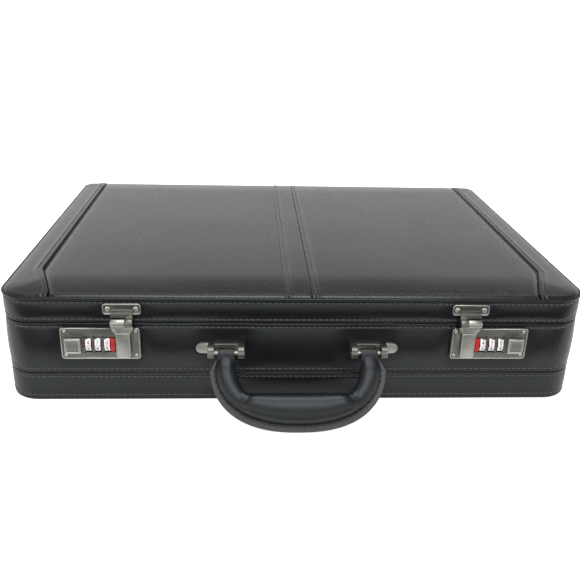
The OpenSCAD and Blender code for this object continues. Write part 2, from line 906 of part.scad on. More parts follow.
base_bottom_leather();
base_band_leather();
base_tray();
expander_wall();
base_lining();
frame_board();
frame_leather();
frame_lining();
lock_plate_left();
lock_plate_right();
lock_covers();
dial_axles();
lock_screws();
handle_bracket_left();
handle_bracket_right();
handle_pins();
bracket_washers();
hinge_leaf_frame_left();
hinge_leaf_frame_right();
hinge_pins();
frame_rivets();
stay_brackets_frame();
lid_ring_board();
lid_top_board();
lid_band_leather();
lid_welt();
lid_lining();
lid_panel_left();
lid_panel_right();
lid_centre_strip();
lid_side_panel_left();
lid_side_panel_right();
lid_pocket();
hasp_bracket_left();
hasp_bracket_right();
hasp_pins();
hasp_screws();
hinge_leaf_lid_left();
hinge_leaf_lid_right();
lid_rivets();
stay_brackets_lid();
hasp_left();
hasp_right();
lock_button_left();
lock_button_right();
reset_slide_left();
reset_slide_right();
dial_left_1();
dial_left_2();
dial_left_3();
dial_right_1();
dial_right_2();
dial_right_3();
handle_core();
handle_leather();
handle_flange();
stay_lower_left();
stay_lower_right();
stay_upper_left();
stay_upper_right();
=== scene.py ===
"""Looks of the attache case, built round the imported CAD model.

Every length here is in millimetres. add_mesh() turns them into metres, Blender's unit, in one place.
X is to the right, Y to the rear and Z up, with the origin at the centre of the case's bottom.
"""

import json
import math

import bmesh
import bpy
from mathutils import Matrix, Vector, noise


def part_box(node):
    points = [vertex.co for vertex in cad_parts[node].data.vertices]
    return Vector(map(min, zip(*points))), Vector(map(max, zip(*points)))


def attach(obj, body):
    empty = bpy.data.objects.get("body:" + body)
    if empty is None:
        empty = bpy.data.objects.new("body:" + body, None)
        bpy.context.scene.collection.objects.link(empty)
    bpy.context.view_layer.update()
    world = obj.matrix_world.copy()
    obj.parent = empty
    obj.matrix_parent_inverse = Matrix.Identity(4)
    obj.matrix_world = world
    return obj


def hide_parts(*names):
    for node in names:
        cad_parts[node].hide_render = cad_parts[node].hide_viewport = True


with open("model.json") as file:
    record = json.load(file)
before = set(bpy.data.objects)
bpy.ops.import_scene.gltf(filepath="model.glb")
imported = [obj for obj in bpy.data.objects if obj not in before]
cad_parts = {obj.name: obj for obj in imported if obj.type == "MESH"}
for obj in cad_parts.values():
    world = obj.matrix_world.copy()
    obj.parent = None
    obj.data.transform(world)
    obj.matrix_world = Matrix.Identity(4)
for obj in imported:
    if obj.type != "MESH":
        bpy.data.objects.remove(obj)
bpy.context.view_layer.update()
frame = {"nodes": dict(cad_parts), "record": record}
MM = 0.001


def box_mm(node):
    """A CAD node's lowest and highest corners, in millimetres."""
    low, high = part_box(node)
    return Vector(low) / MM, Vector(high) / MM


def joint_mm(name):
    """Where a CAD joint's axis is, in millimetres."""
    row = next(j for j in frame["record"]["behaviour"]["joints"] if j["name"] == name)
    return Vector(row["pos_m"]) / MM


# ---- sizes that come from the frame ----

BASE_LOW, BASE_HIGH = box_mm("base_band_leather")
FRAME_LOW, FRAME_HIGH = box_mm("frame_leather")
LID_LOW, LID_HIGH = box_mm("lid_band_leather")
TOP_LOW, TOP_HIGH = box_mm("lid_centre_strip")
SIDE_X = FRAME_HIGH.x
FRONT_Y = FRAME_LOW.y
REAR_Y = FRAME_HIGH.y
CROWN_Z = TOP_LOW.z
TOP_Z = TOP_HIGH.z
FRONT_R = 24.0
REAR_R = 8.0
SKIN = 1.2
STRIP_HALF = TOP_HIGH.x
SIDE_SEAM_X = box_mm("lid_panel_right")[1].x
SEAM_FRONT_X = box_mm("lid_side_panel_right")[0].x
SEAM_BEND_Y = FRONT_Y + 52
LOCK_LOW, LOCK_HIGH = box_mm("lock_plate_right")
LOCK_X = (LOCK_LOW.x + LOCK_HIGH.x) / 2
LOCK_HALF = (LOCK_HIGH.x - LOCK_LOW.x) / 2
HASP_PIN = joint_mm("hasp_right_swing")
HANDLE_PIN = joint_mm("handle_swing")
DIAL_Z = joint_mm("dial_right_1_turn").z
HANDLE_TILT = math.radians(47.5)
BRACKET_X = 55.4
SIDES = {"left": -1, "right": 1}

STITCH_PITCH = 4.4
STITCH_LENGTH = 3.3
STITCH_R = 0.36
FRAME_STITCHES = (28.2, 64.4)
LID_STITCHES = (71.0, 84.6)
BASE_STITCHES = (5.0, 21.2)


# ---- meshes ----


def linked(name, data):
    """A new object in the scene."""
    item = bpy.data.objects.new(name, data)
    bpy.context.scene.collection.objects.link(item)
    return item


def add_mesh(name, verts, faces, smooth=True):
    """A mesh object from points in millimetres. Faces of more than four corners are shaded flat."""
    mesh = bpy.data.meshes.new(name)
    mesh.from_pydata([Vector(v) * MM for v in verts], [], faces)
    mesh.validate()
    work = bmesh.new()
    work.from_mesh(mesh)
    bmesh.ops.recalc_face_normals(work, faces=work.faces)
    work.to_mesh(mesh)
    work.free()
    mesh.polygons.foreach_set("use_smooth", [smooth and len(face.vertices) <= 4 for face in mesh.polygons])
    return linked(name, mesh)


def from_work(name, work):
    """An object from a bmesh, which is used up."""
    mesh = bpy.data.meshes.new(name)
    work.to_mesh(mesh)
    work.free()
    return linked(name, mesh)


def angles(count, step, start=0.0):
    """Evenly stepped angles, given in degrees, as radians."""
    return [math.radians(start + step * k) for k in range(count)]


def apply_modifiers(piece):
    """Turns a piece's modifiers into its own mesh."""
    graph = bpy.context.evaluated_depsgraph_get()
    mesh = bpy.data.meshes.new_from_object(piece.evaluated_get(graph))
    piece.modifiers.clear()
    piece.data = mesh


def place(piece, material, body, replaces=()):
    """Gives a piece its material and body, and hides the CAD nodes it replaces."""
    piece.data.materials.clear()
    piece.data.materials.append(material)
    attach(piece, body)
    if replaces:
        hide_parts(*replaces)
    return piece


def loft(name, rings, closed_path=False):
    """Skins closed rings of points in order, with capped ends unless the path closes."""
    count = len(rings[0])
    verts = [p for ring in rings for p in ring]
    faces = []
    last = len(rings) if closed_path else len(rings) - 1
    for i in range(last):
        a = i * count
        b = ((i + 1) % len(rings)) * count
        for j in range(count):
            k = (j + 1) % count
            faces.append((a + j, a + k, b + k, b + j))
    if not closed_path:
        faces.append(tuple(range(count - 1, -1, -1)))
        faces.append(tuple(range(len(verts) - count, len(verts))))
    return add_mesh(name, verts, faces)


def sheet_mesh(name, tops, normals, thickness):
    """A closed sheet from a grid of top points and their normals."""
    rows, cols = len(tops), len(tops[0])
    upper = [p for row in tops for p in row]
    lower = [p - n * thickness for prow, nrow in zip(tops, normals) for p, n in zip(prow, nrow)]
    half = rows * cols
    faces = []
    for i in range(rows - 1):
        for j in range(cols - 1):
            a, b = i * cols + j, i * cols + j + 1
            c, d = b + cols, a + cols
            faces.append((a, b, c, d))
            faces.append((half + d, half + c, half + b, half + a))
    rim = list(range(cols))
    rim += [i * cols + cols - 1 for i in range(1, rows)]
    rim += [(rows - 1) * cols + j for j in range(cols - 2, -1, -1)]
    rim += [i * cols for i in range(rows - 2, 0, -1)]
    for i, a in enumerate(rim):
        b = rim[(i + 1) % len(rim)]
        faces.append((a, half + a, half + b, b))
    return add_mesh(name, upper + lower, faces)


def box_mesh(name, low, high):
    """A plain box, used to cut with."""
    verts = [(x, y, z) for x in (low[0], high[0]) for y in (low[1], high[1]) for z in (low[2], high[2])]
    faces = [(0, 1, 3, 2), (4, 6, 7, 5), (0, 4, 5, 1), (2, 3, 7, 6), (0, 2, 6, 4), (1, 5, 7, 3)]
    return add_mesh(name, verts, faces, smooth=False)


def cut(piece, cutters):
    """Takes other meshes out of a piece, and removes them."""
    for cutter in cutters:
        step = piece.modifiers.new("cut", "BOOLEAN")
        step.object = cutter
        step.solver = "EXACT"
    apply_modifiers(piece)
    for cutter in cutters:
        bpy.data.objects.remove(cutter)


def joined(name, parts):
    """One object holding the meshes of several."""
    work = bmesh.new()
    for part in parts:
        work.from_mesh(part.data)
        bpy.data.objects.remove(part)
    return from_work(name, work)


def refined(node, width, segments=2, name=None):
    """A copy of a CAD node's mesh with its sharp edges rounded over."""
    work = bmesh.new()
    work.from_mesh(frame["nodes"][node].data)
    bmesh.ops.remove_doubles(work, verts=work.verts, dist=0.002 * MM)
    bmesh.ops.dissolve_limit(work, angle_limit=math.radians(1), verts=work.verts, edges=work.edges)
    piece = from_work(name or node + "_detail", work)
    step = piece.modifiers.new("bevel", "BEVEL")
    step.width = width * MM
    step.segments = segments
    step.limit_method = "ANGLE"
    step.angle_limit = math.radians(35)
    apply_modifiers(piece)
    piece.data.polygons.foreach_set("use_smooth", [True] * len(piece.data.polygons))
    piece.data.set_sharp_from_angle(angle=math.radians(38))
    return piece


# ---- materials ----


class Nodes:
    """Short forms for building a node tree."""

    def __init__(self, tree):
        self.tree = tree

    def feed(self, value, socket):
        """Sets a socket to a plain value, or links a node's output to it."""
        if isinstance(value, (int, float, tuple)):
            socket.default_value = value
        else:
            self.tree.links.new(value, socket)

    def new(self, kind, **inputs):
        node = self.tree.nodes.new("ShaderNode" + kind)
        for key, value in inputs.items():
            self.feed(value, node.inputs[key.replace("_", " ")])
        return node

    def remap(self, value, low, high, to_low, to_high):
        node = self.new("MapRange", Value=value, From_Min=low, From_Max=high, To_Min=to_low, To_Max=to_high)
        return node.outputs["Result"]

    def ramp(self, value, stops, blend="LINEAR"):
        node = self.new("ValToRGB", Fac=value)
        band = node.color_ramp
        band.interpolation = blend
        band.elements[0].position, band.elements[0].color = stops[0]
        band.elements[1].position, band.elements[1].color = stops[-1]
        for position, color in stops[1:-1]:
            band.elements.new(position).color = color
        return node.outputs["Color"]

    def math(self, operation, a, b):
        node = self.new("Math")
        node.operation = operation
        self.feed(a, node.inputs[0])
        self.feed(b, node.inputs[1])
        return node.outputs[0]


class Surface(Nodes):
    """A material's nodes, laid out in the object's own space."""

    def __init__(self, name, **sockets):
        self.material = bpy.data.materials.new(name)
        self.material.use_nodes = True
        super().__init__(self.material.node_tree)
        self.shader = self.tree.nodes["Principled BSDF"]
        for socket, value in sockets.items():
            self.to(value, socket.replace("_", " "))
        self.place = self.new("TexCoord").outputs["Object"]

    def to(self, value, socket):
        self.feed(value, self.shader.inputs[socket])

    def noise(self, scale, detail=2.0, roughness=0.5, vector=None):
        where = vector or self.place
        return self.new("TexNoise", Scale=scale, Detail=detail, Roughness=roughness, Vector=where).outputs["Fac"]

    def cells(self, scale):
        """Distance to the edge of a cell."""
        node = self.new("TexVoronoi", Scale=scale, Vector=self.place)
        node.feature = "DISTANCE_TO_EDGE"
        return node.outputs["Distance"]

    def stretched(self, scale):
        return self.new("Mapping", Vector=self.place, Scale=scale).outputs["Vector"]

    def bump(self, height, strength, distance, under=None):
        node = self.new("Bump", Strength=strength, Distance=distance, Height=height)
        if under:
            self.feed(under, node.inputs["Normal"])
        return node.outputs["Normal"]


def grey(value, tint=(1, 1, 1)):
    return tuple(value * t for t in tint) + (1,)


def leather(name, dark, light, rough, tint=(0.97, 1.0, 1.06), painted_reflection_tint=(0.88, 0.95, 1.0), level=0.5):
    """Smooth coated leather: fine pebbled grain, faint creases, and uneven gloss and colour. Its gloss carries a
    painted reflection colour, bluish by default and greenish on the top.
    """
    # The specular tint paints a colour into the leather's reflections.
    n = Surface(name, IOR=1.5, Specular_IOR_Level=level, Specular_Tint=(*painted_reflection_tint, 1.0))
    patches = n.noise(14, 3)
    n.to(n.ramp(patches, [(0.3, grey(dark, tint)), (0.72, grey(light, tint))]), "Base Color")
    broad = n.remap(patches, 0.3, 0.7, rough - 0.015, rough + 0.02)
    fine = n.remap(n.noise(260, 3), 0.3, 0.7, -0.02, 0.03)
    n.to(n.math("ADD", broad, fine), "Roughness")
    grain = n.remap(n.cells(780), 0.0, 0.35, 0.0, 1.0)
    pores = n.noise(1500, 2)
    creases = n.noise(34, 4, 0.6, n.stretched((1.0, 0.35, 1.0)))
    low = n.bump(creases, 0.12, 0.0012)
    mid = n.bump(grain, 0.16, 0.00012, low)
    n.to(n.bump(pores, 0.12, 0.0001, mid), "Normal")
    return n.material


def brushed(name, value, rough, tint=(1.0, 0.99, 0.95)):
    """Satin plated metal with faint brushing and a mottled gloss."""
    n = Surface(name, Metallic=1.0)
    mottle = n.noise(90, 3)
    n.to(n.ramp(mottle, [(0.25, grey(value * 0.86, tint)), (0.8, grey(value * 1.08, tint))]), "Base Color")
    lines = n.noise(900, 2, 0.5, n.stretched((0.12, 1.0, 1.0)))
    n.to(n.remap(n.math("ADD", lines, mottle), 0.6, 1.4, rough - 0.06, rough + 0.08), "Roughness")
    n.to(n.bump(lines, 0.15, 0.00005), "Normal")
    return n.material


def thread_material(name, value):
    """Twisted sewing thread."""
    n = Surface(name, Roughness=0.55, Sheen_Weight=0.3)
    wave = n.new("TexWave", Scale=1100, Vector=n.place)
    wave.bands_direction = "DIAGONAL"
    twist = wave.outputs["Fac"]
    n.to(n.ramp(twist, [(0.2, grey(value * 0.6)), (0.8, grey(value * 1.3))]), "Base Color")
    n.to(n.bump(twist, 0.5, 0.0001), "Normal")
    return n.material


def woven_material(name, dark, light):
    """Plain-weave lining cloth."""
    n = Surface(name, Roughness=0.85, Sheen_Weight=0.25, Sheen_Roughness=0.5)
    axes = n.new("SeparateXYZ", Vector=n.place).outputs
    pitch = 2 * math.pi / 0.0011

    def threads(axis):
        return n.math("SINE", n.math("MULTIPLY", n.math("ADD", axes[axis], axes[2]), pitch), 0)

    weave = n.remap(n.math("MULTIPLY", threads(0), threads(1)), -1, 1, 0, 1)
    mixed = n.math("ADD", n.math("MULTIPLY", weave, 0.7), n.math("MULTIPLY", n.noise(300, 3), 0.3))
    n.to(n.ramp(mixed, [(0.2, grey(dark, (1, 1, 1.05))), (0.8, grey(light, (1, 1, 1.05)))]), "Base Color")
    n.to(n.bump(weave, 0.4, 0.0002), "Normal")
    return n.material


def board_material():
    """Dark pressed board with short fibres."""
    n = Surface("board", Roughness=0.8)
    fibres = n.noise(240, 4, 0.65, n.stretched((0.3, 1.0, 1.0)))
    n.to(n.ramp(fibres, [(0.3, grey(0.014)), (0.75, grey(0.03))]), "Base Color")
    n.to(n.bump(fibres, 0.3, 0.0003), "Normal")
    return n.material


def red_material():
    """Moulded red plastic."""
    n = Surface("red_plastic", IOR=1.5)
    haze = n.noise(400, 2)
    n.to(n.ramp(haze, [(0.2, (0.50, 0.012, 0.012, 1)), (0.8, (0.66, 0.022, 0.020, 1))]), "Base Color")
    n.to(n.remap(haze, 0.2, 0.8, 0.28, 0.38), "Roughness")
    n.to(n.bump(haze, 0.1, 0.0001), "Normal")
    return n.material


def ink_material():
    """Black paint in the dials' figures, also used for the painted shadow round the screw heads."""
    n = Surface("ink_and_shadow", IOR=1.45)
    speck = n.noise(800, 2)
    n.to(n.ramp(speck, [(0.3, grey(0.006)), (0.7, grey(0.014))]), "Base Color")
    n.to(n.remap(speck, 0.2, 0.8, 0.4, 0.55), "Roughness")
    return n.material


def floor_material():
    """Pale seamless paper."""
    n = Surface("floor_paper", IOR=1.3, Roughness=0.9, Emission_Color=grey(1.0))
    n.to(n.ramp(n.noise(3, 2), [(0.2, grey(0.90)), (0.8, grey(0.93))]), "Base Color")
    seen = n.new("LightPath").outputs["Is Camera Ray"]
    n.to(n.math("ADD", n.math("MULTIPLY", seen, 0.6), 0.25), "Emission Strength")
    return n.material


# The black leather of the bands, bottom and handle has the bluish painted reflection colour.
LEATHER = leather("leather_black", 0.004, 0.0065, 0.29)
# The top's leather is a lit copy of the black leather: its lighter, greener colour and green-tinted gloss paint the
# light falling from above.
LEATHER_TOP_LIT = leather("leather_top", 0.006, 0.010, 0.27, (0.96, 1.06, 0.98), (0.91, 1.0, 0.935), level=0.60)
LEATHER_HANDLE = leather("leather_handle", 0.006, 0.010, 0.36, tint=(0.98, 1.0, 1.08))
LEATHER_EDGE = leather("leather_edge", 0.045, 0.075, 0.55, tint=(1.0, 1.0, 1.04))
NICKEL = brushed("nickel_satin", 0.45, 0.36, tint=(1.0, 0.99, 0.90))
STEEL = brushed("steel_plain", 0.40, 0.38, tint=(1, 1, 1))
# A lighter copy of the satin nickel: painted highlight on raised rims, beads and screw heads.
NICKEL_LIT = brushed("nickel_painted_highlight", 0.60, 0.30, tint=(1.0, 0.99, 0.92))
# A darker copy of the satin nickel: painted shade for the dark surroundings that the flat plates, brackets, lugs
# and slot liners reflect.
NICKEL_DARKENED = brushed("nickel_plate_painted_shade", 0.22, 0.40, tint=(1.0, 0.99, 0.89))
# A darker copy of the satin nickel: painted shade on the button's face and ribs.
NICKEL_SHADED = brushed("nickel_field_painted_shade", 0.30, 0.40, tint=(1.0, 0.99, 0.90))
CHROME = brushed("chrome_bright", 0.86, 0.16, tint=(0.98, 0.99, 1.0))
# The band stitches' thread is grey, lightened further to paint the highlight that glossy thread catches from above.
THREAD_GREY_SHEEN = thread_material("thread_grey_sheen", 0.09)
THREAD_DARK = thread_material("thread_black", 0.012)
THREAD_TOP = thread_material("thread_top", 0.035)
LINING = woven_material("lining_cloth", 0.035, 0.075)
BOARD = board_material()
RED = red_material()
INK_AND_SHADOW = ink_material()


# ---- camera, light and floor ----

LENS = 45.0
CAMERA_SPOT = (-38.2, -677.4, 307.1)
CAMERA_TURNS = (3.512, 22.57, 1.64)
# Levels from straight down to straight up
REAR_WALL = [(0.0, 0.7), (0.5, 1.40), (0.62, 1.32), (0.69, 1.05), (0.755, 0.15), (1.0, 0.14)]
FRONT_WALL = [(0.0, 0.05), (0.31, 0.06), (0.45, 1.4), (0.66, 1.6), (0.76, 0.6), (1.0, 0.2)]
WORLD_GAIN = 0.9
FLOOR_FRONT = -243
FLOOR_REACH = 2600
FLOOR_Z = -0.2
# Place, aim and size in metres, power in watts
LAMPS = (
    ("overhead", (-0.1, 0.72, 1.08), (-0.05, -0.1, 0.08), (2.2, 0.14), 1.8),
    ("softbox", (0.0, -1.0, 1.55), (0, -0.1, 0.03), (1.2, 0.6), 10),
    ("ceiling", (0.0, 0.12, 1.9), (0, -0.1, 0.03), (1.3, 0.8), 16),
)


def add_camera():
    """Looks down at the front, from a little left of the case's middle."""
    data = bpy.data.cameras.new("camera")
    data.lens = LENS
    data.sensor_width = 36.0
    data.dof.use_dof = False
    camera = linked("camera", data)
    yaw, pitch, roll = (math.radians(a) for a in CAMERA_TURNS)
    forward = Vector((math.sin(yaw) * math.cos(pitch), math.cos(yaw) * math.cos(pitch), -math.sin(pitch)))
    right = Vector((math.cos(yaw), -math.sin(yaw), 0))
    up = right.cross(forward)
    right_rolled = right * math.cos(roll) + up * math.sin(roll)
    up_rolled = up * math.cos(roll) - right * math.sin(roll)
    turn = Matrix((right_rolled, up_rolled, -forward)).transposed().to_4x4()
    camera.matrix_world = Matrix.Translation(Vector(CAMERA_SPOT) * MM) @ turn
    bpy.context.scene.camera = camera


def add_lamps():
    for name, where, target, size, energy in LAMPS:
        data = bpy.data.lights.new(name, "AREA")
        data.shape = "RECTANGLE"
        data.size, data.size_y = size
        data.energy = energy
        lamp = linked(name, data)
        lamp.location = where
        lamp.rotation_euler = (Vector(target) - Vector(where)).to_track_quat("-Z", "Y").to_euler()


def add_world():
    """A bright wall low behind the case, dim air above it, and a softer wall in front."""
    world = bpy.data.worlds.new("studio")
    bpy.context.scene.world = world
    world.use_nodes = True
    n = Nodes(world.node_tree)
    axes = n.new("SeparateXYZ", Vector=n.new("TexCoord").outputs["Generated"]).outputs

    def levels(axis, low, high, stops):
        value = n.remap(axes[axis], low, high, 0, 1)
        return n.ramp(value, [(position, grey(level)) for position, level in stops], "EASE")

    def mix(kind, factor, a, b):
        node = n.new("Mix")
        node.data_type = "RGBA"
        node.blend_type = kind
        for socket, value in ((0, factor), (6, a), (7, b)):
            n.feed(value, node.inputs[socket])
        return node.outputs[2]

    rear = levels(2, -1, 1, REAR_WALL)
    front = levels(2, -1, 1, FRONT_WALL)
    depth = levels(1, -0.25, 0.35, [(0, 0), (1, 1)])
    across = levels(0, -0.8, 0.8, [(0, 1.0), (1, 0.78)])
    sky = mix("MULTIPLY", 1.0, mix("MIX", depth, front, rear), across)
    ray = n.new("LightPath").outputs["Is Camera Ray"]
    shade = n.tree.nodes["Background"]
    n.feed(mix("MIX", ray, mix("MULTIPLY", 1.0, sky, grey(WORLD_GAIN)), grey(1.0)), shade.inputs["Color"])
    n.feed(1.0, shade.inputs["Strength"])


def add_stage():
    bpy.context.scene.view_settings.view_transform = "Standard"
    corners = ((-FLOOR_REACH, FLOOR_FRONT), (FLOOR_REACH, FLOOR_FRONT),
               (FLOOR_REACH, FLOOR_REACH), (-FLOOR_REACH, FLOOR_REACH))
    floor = add_mesh("floor", [(x, y, FLOOR_Z) for x, y in corners], [(0, 1, 2, 3)])
    floor.data.materials.append(floor_material())
    add_lamps()


# ---- the case's outline ----


def outline(step=5.0, arc=10):
    """Points and outward normals round the case, anticlockwise from the front's middle."""
    w, front, rear = SIDE_X, FRONT_Y, REAR_Y
    corners = [
        (w - FRONT_R, front + FRONT_R, FRONT_R, -90),
        (w - REAR_R, rear - REAR_R, REAR_R, 0),
        (-w + REAR_R, rear - REAR_R, REAR_R, 90),
        (-w + FRONT_R, front + FRONT_R, FRONT_R, 180),
    ]
    points = []
    for i, (cx, cy, r, start) in enumerate(corners):
        for k in range(arc + 1):
            a = math.radians(start + 90 * k / arc)
            n = Vector((math.cos(a), math.sin(a), 0))
            points.append((Vector((cx, cy, 0)) + n * r, n))
        nx, ny, nr, _ = corners[(i + 1) % 4]
        end = Vector((nx, ny, 0)) + n * nr
        begin = points[-1][0]
        pieces = max(1, round((end - begin).length / step))
        points += [(begin.lerp(end, k / pieces), n) for k in range(1, pieces)]
    return points


def ripple(point, size, height):
    """Slow unevenness of hand-laid leather."""
    return height * noise.noise(point / size)


def ease(value):
    """Smooth step from 0 to 1."""
    value = min(max(value, 0.0), 1.0)
    return value * value * (3 - 2 * value)


def fullness(p, spans):
    """How far the padding may swell at a point: none behind the fittings on the front."""
    if p.y > FRONT_Y + 1:
        return 0.45
    corner = ease((SIDE_X - FRONT_R - abs(p.x)) / 12)
    clear = min((ease((abs(abs(p.x) - middle) - half) / 9) for middle, half in spans), default=1.0)
    return (0.45 + 0.55 * corner) * clear


def ring_sweep(name, profile, uneven=0.0, pressed=()):
    """Sweeps a closed profile of (inset, height, swell) rows round the case."""
    rings = []
    for p, n in outline():
        full = fullness(p, pressed)
        wave = ripple(p, 45, uneven) * (0.3 + 0.7 * full)
        ring = []
        for inset, z, swell in profile:
            inward = inset - swell * full - (wave if swell > 0 else 0)
            ring.append(Vector((p.x, p.y, 0)) - n * inward + Vector((0, 0, z)))
        rings.append(ring)
    return loft(name, rings, closed_path=True)


TURN_IN = 7.4
FLAP = 0.18
WELT_R = 0.95


def band_profile(z0, z1, stitches, bulge, rolls=(1.0, 1.0), flaps=(1, 1)):
    """A band's outer face with rolled edges, sewn channels and a padded bulge, turned in over its board."""
    profile = []
    low, high = z0 - FLAP * flaps[0], z1 + FLAP * flaps[1]
    count = round((high - low) / 0.5)
    for i in range(count + 1):
        z = low + (high - low) * (0.5 - 0.5 * math.cos(math.pi * i / count))
        inset = 0.0
        for edge, roll in ((z - low, rolls[0]), (high - z, rolls[1])):
            if edge < roll:
                inset += roll - math.sqrt(roll * roll - (roll - edge) ** 2)
        rows = [z0] + list(stitches) + [z1]
        swell = 0.001
        for a, b in zip(rows, rows[1:]):
            if a <= z <= b:
                swell += bulge * max(0, math.sin(math.pi * (z - a) / (b - a))) ** 0.75 * min(1, (b - a) / 14)
        for s in stitches:
            inset += 0.28 * math.exp(-(((z - s) / 0.7) ** 2))
        profile.append((inset, z, swell))
    inner = SKIN + 1.0
    if flaps[1]:
        profile += [(TURN_IN, high, 0.0), (TURN_IN, z1 - 0.2, 0.0)]
    profile += [(inner, z1 - 0.2, 0.0), (inner, z0 + 0.2, 0.0)]
    if flaps[0]:
        profile += [(TURN_IN, z0 + 0.2, 0.0), (TURN_IN, low, 0.0)]
    return profile


# ---- stitches ----


def stitch_shape(start, end, up, radius):
    """Rings of one stitch: a short thread that dives into the leather at both ends."""
    along = (end - start).normalized()
    across = along.cross(up).normalized()
    rings = []
    stations = ((0.0, -0.9, 0.75), (0.12, 0.1, 1.0), (0.5, 0.55, 1.1), (0.88, 0.1, 1.0), (1.0, -0.9, 0.75))
    for t, high, width in stations:
        centre = start.lerp(end, t) + up * high * radius
        rings.append([centre + (across * math.cos(a) + up * math.sin(a)) * radius * width
                      for a in angles(6, 60)])
    return rings


def stitch_row(name, path, pitch=STITCH_PITCH, length=STITCH_LENGTH, radius=STITCH_R,
               closed=False, skip=None, slant=0.0):
    """Stitches along a path of (point, surface normal) pairs."""
    pairs = list(path) + ([path[0]] if closed else [])
    lengths = [0.0]
    for (a, _), (b, _) in zip(pairs, pairs[1:]):
        lengths.append(lengths[-1] + (b - a).length)
    count = max(1, round(lengths[-1] / pitch))
    pitch = lengths[-1] / count
    spot = {"i": 0}

    def at(s):
        while spot["i"] < len(pairs) - 2 and lengths[spot["i"] + 1] < s:
            spot["i"] += 1
        i = spot["i"]
        t = (s - lengths[i]) / max(lengths[i + 1] - lengths[i], 1e-9)
        return pairs[i][0].lerp(pairs[i + 1][0], t), pairs[i][1].lerp(pairs[i + 1][1], t).normalized()

    verts, faces = [], []
    for k in range(count):
        a, up = at(k * pitch + (pitch - length) / 2)
        b, up2 = at(k * pitch + (pitch + length) / 2)
        up = (up + up2).normalized()
        if skip and skip((a + b) / 2):
            continue
        shift = (b - a).normalized().cross(up) * slant
        rings = stitch_shape(a - shift, b + shift, up, radius)
        first = len(verts)
        verts += [p for ring in rings for p in ring]
        for i in range(4):
            for j in range(6):
                u = first + i * 6 + j
                v = first + i * 6 + (j + 1) % 6
                faces.append((u, v, v + 6, u + 6))
        faces.append(tuple(first + j for j in range(5, -1, -1)))
        faces.append(tuple(first + 24 + j for j in range(6)))
    return add_mesh(name, verts, faces)


def band_stitches(name, z, body):
    """A row round the case at one height, left out where the rear hinges and the catch slots are."""
    path = [(p + n * -0.12 + Vector((0, 0, z)), n) for p, n in outline()]
    leaves = [box_mm("hinge_leaf_frame_" + s) for s in SIDES] + [box_mm("hinge_leaf_lid_" + s) for s in SIDES]

    def hidden(p):
        for low, high in leaves:
            if low.x - 2 < p.x < high.x + 2 and p.y > 0 and low.z - 1 < p.z < high.z + 1:
                return True
        return p.y < FRONT_Y + 2 and abs(abs(p.x) - HASP_PIN.x) < 5 and 48 < p.z < FRAME_HIGH.z

    row = stitch_row(name, path, closed=True, skip=hidden, slant=0.12)
    # Grey thread, lightened as painted highlight.
    place(row, THREAD_GREY_SHEEN, body)


# ---- leather bands ----


def lock_cutters():
    """Where the locks pass through the frame's leather, as in the CAD."""
    cutters = []
    for name, s in SIDES.items():
        low, high = box_mm("lock_plate_" + name)
        mech_low, mech_high = box_mm("lock_covers")
        inner, outer = sorted((abs(low.x), abs(high.x)))
        for x0, x1, z0, z1 in (
            (inner + 17.6, outer - 3.2, mech_low.z + 1.8, high.z - 2.3),
            (HASP_PIN.x - 3, HASP_PIN.x + 3, 48.2, FRAME_HIGH.z + 2),
        ):
            xs = sorted((s * x0, s * x1))
            cutters.append(box_mesh("cutter", (xs[0], FRONT_Y - 3, z0), (xs[1], FRONT_Y + 4, z1)))
    return cutters


def make_bands():
    profile = band_profile(0.0, BASE_HIGH.z, BASE_STITCHES, 0.6, (2.0, 1.0), (0, 1))
    base = ring_sweep("base_band", profile, uneven=0.2)
    place(base, LEATHER, "base", ["base_band_leather"])
    profile = band_profile(FRAME_LOW.z, FRAME_HIGH.z, FRAME_STITCHES, 1.8)
    body = ring_sweep("frame_band", profile, 0.25, pressed=((LOCK_X, LOCK_HALF + 1), (BRACKET_X, 17)))
    cut(body, lock_cutters())
    place(body, LEATHER, "frame", ["frame_leather"])
    profile = band_profile(LID_LOW.z, LID_HIGH.z, LID_STITCHES, 0.9, flaps=(1, 0))
    lid = ring_sweep("lid_band", profile, 0.2, pressed=((HASP_PIN.x, 16),))
    place(lid, LEATHER, "lid", ["lid_band_leather"])
    # Open fault: the last inset is more than the corners' radii, so the cap's outline probably crosses itself.
    levels = ((2.6, 1.3), (2.4, 0.5), (2.9, 0.05), (8, 0.0), (30, 0.03))
    bottom = loft("bottom_panel", [[p - n * inset + Vector((0, 0, z)) for p, n in outline()]
                                   for inset, z in levels])
    place(bottom, LEATHER, "base", ["base_bottom_leather"])
    for body, heights in (("base", BASE_STITCHES), ("frame", FRAME_STITCHES), ("lid", LID_STITCHES)):
        for z in heights:
            band_stitches("%s_stitches_%02d" % (body, z), z, body)
    welt = [(-0.15 + WELT_R * math.cos(a), (LID_HIGH.z + CROWN_Z) / 2 + WELT_R * math.sin(a), 0.001)
            for a in angles(12, 30)]
    cord = ring_sweep("lid_welt_cord", welt, uneven=0.15)
    place(cord, LEATHER, "lid", ["lid_welt"])


# ---- the lid's top ----

ROLL_REACH = 42.0
EDGE_ROLL = 8.5
EDGE_SET = 1.2
SLOPE_FALL = 2.6
DOME = 0.7
FOLD = 0.85
TUCK = 0.35
SEAM_STITCH = 3.1
SIDE_STITCH = 3.5


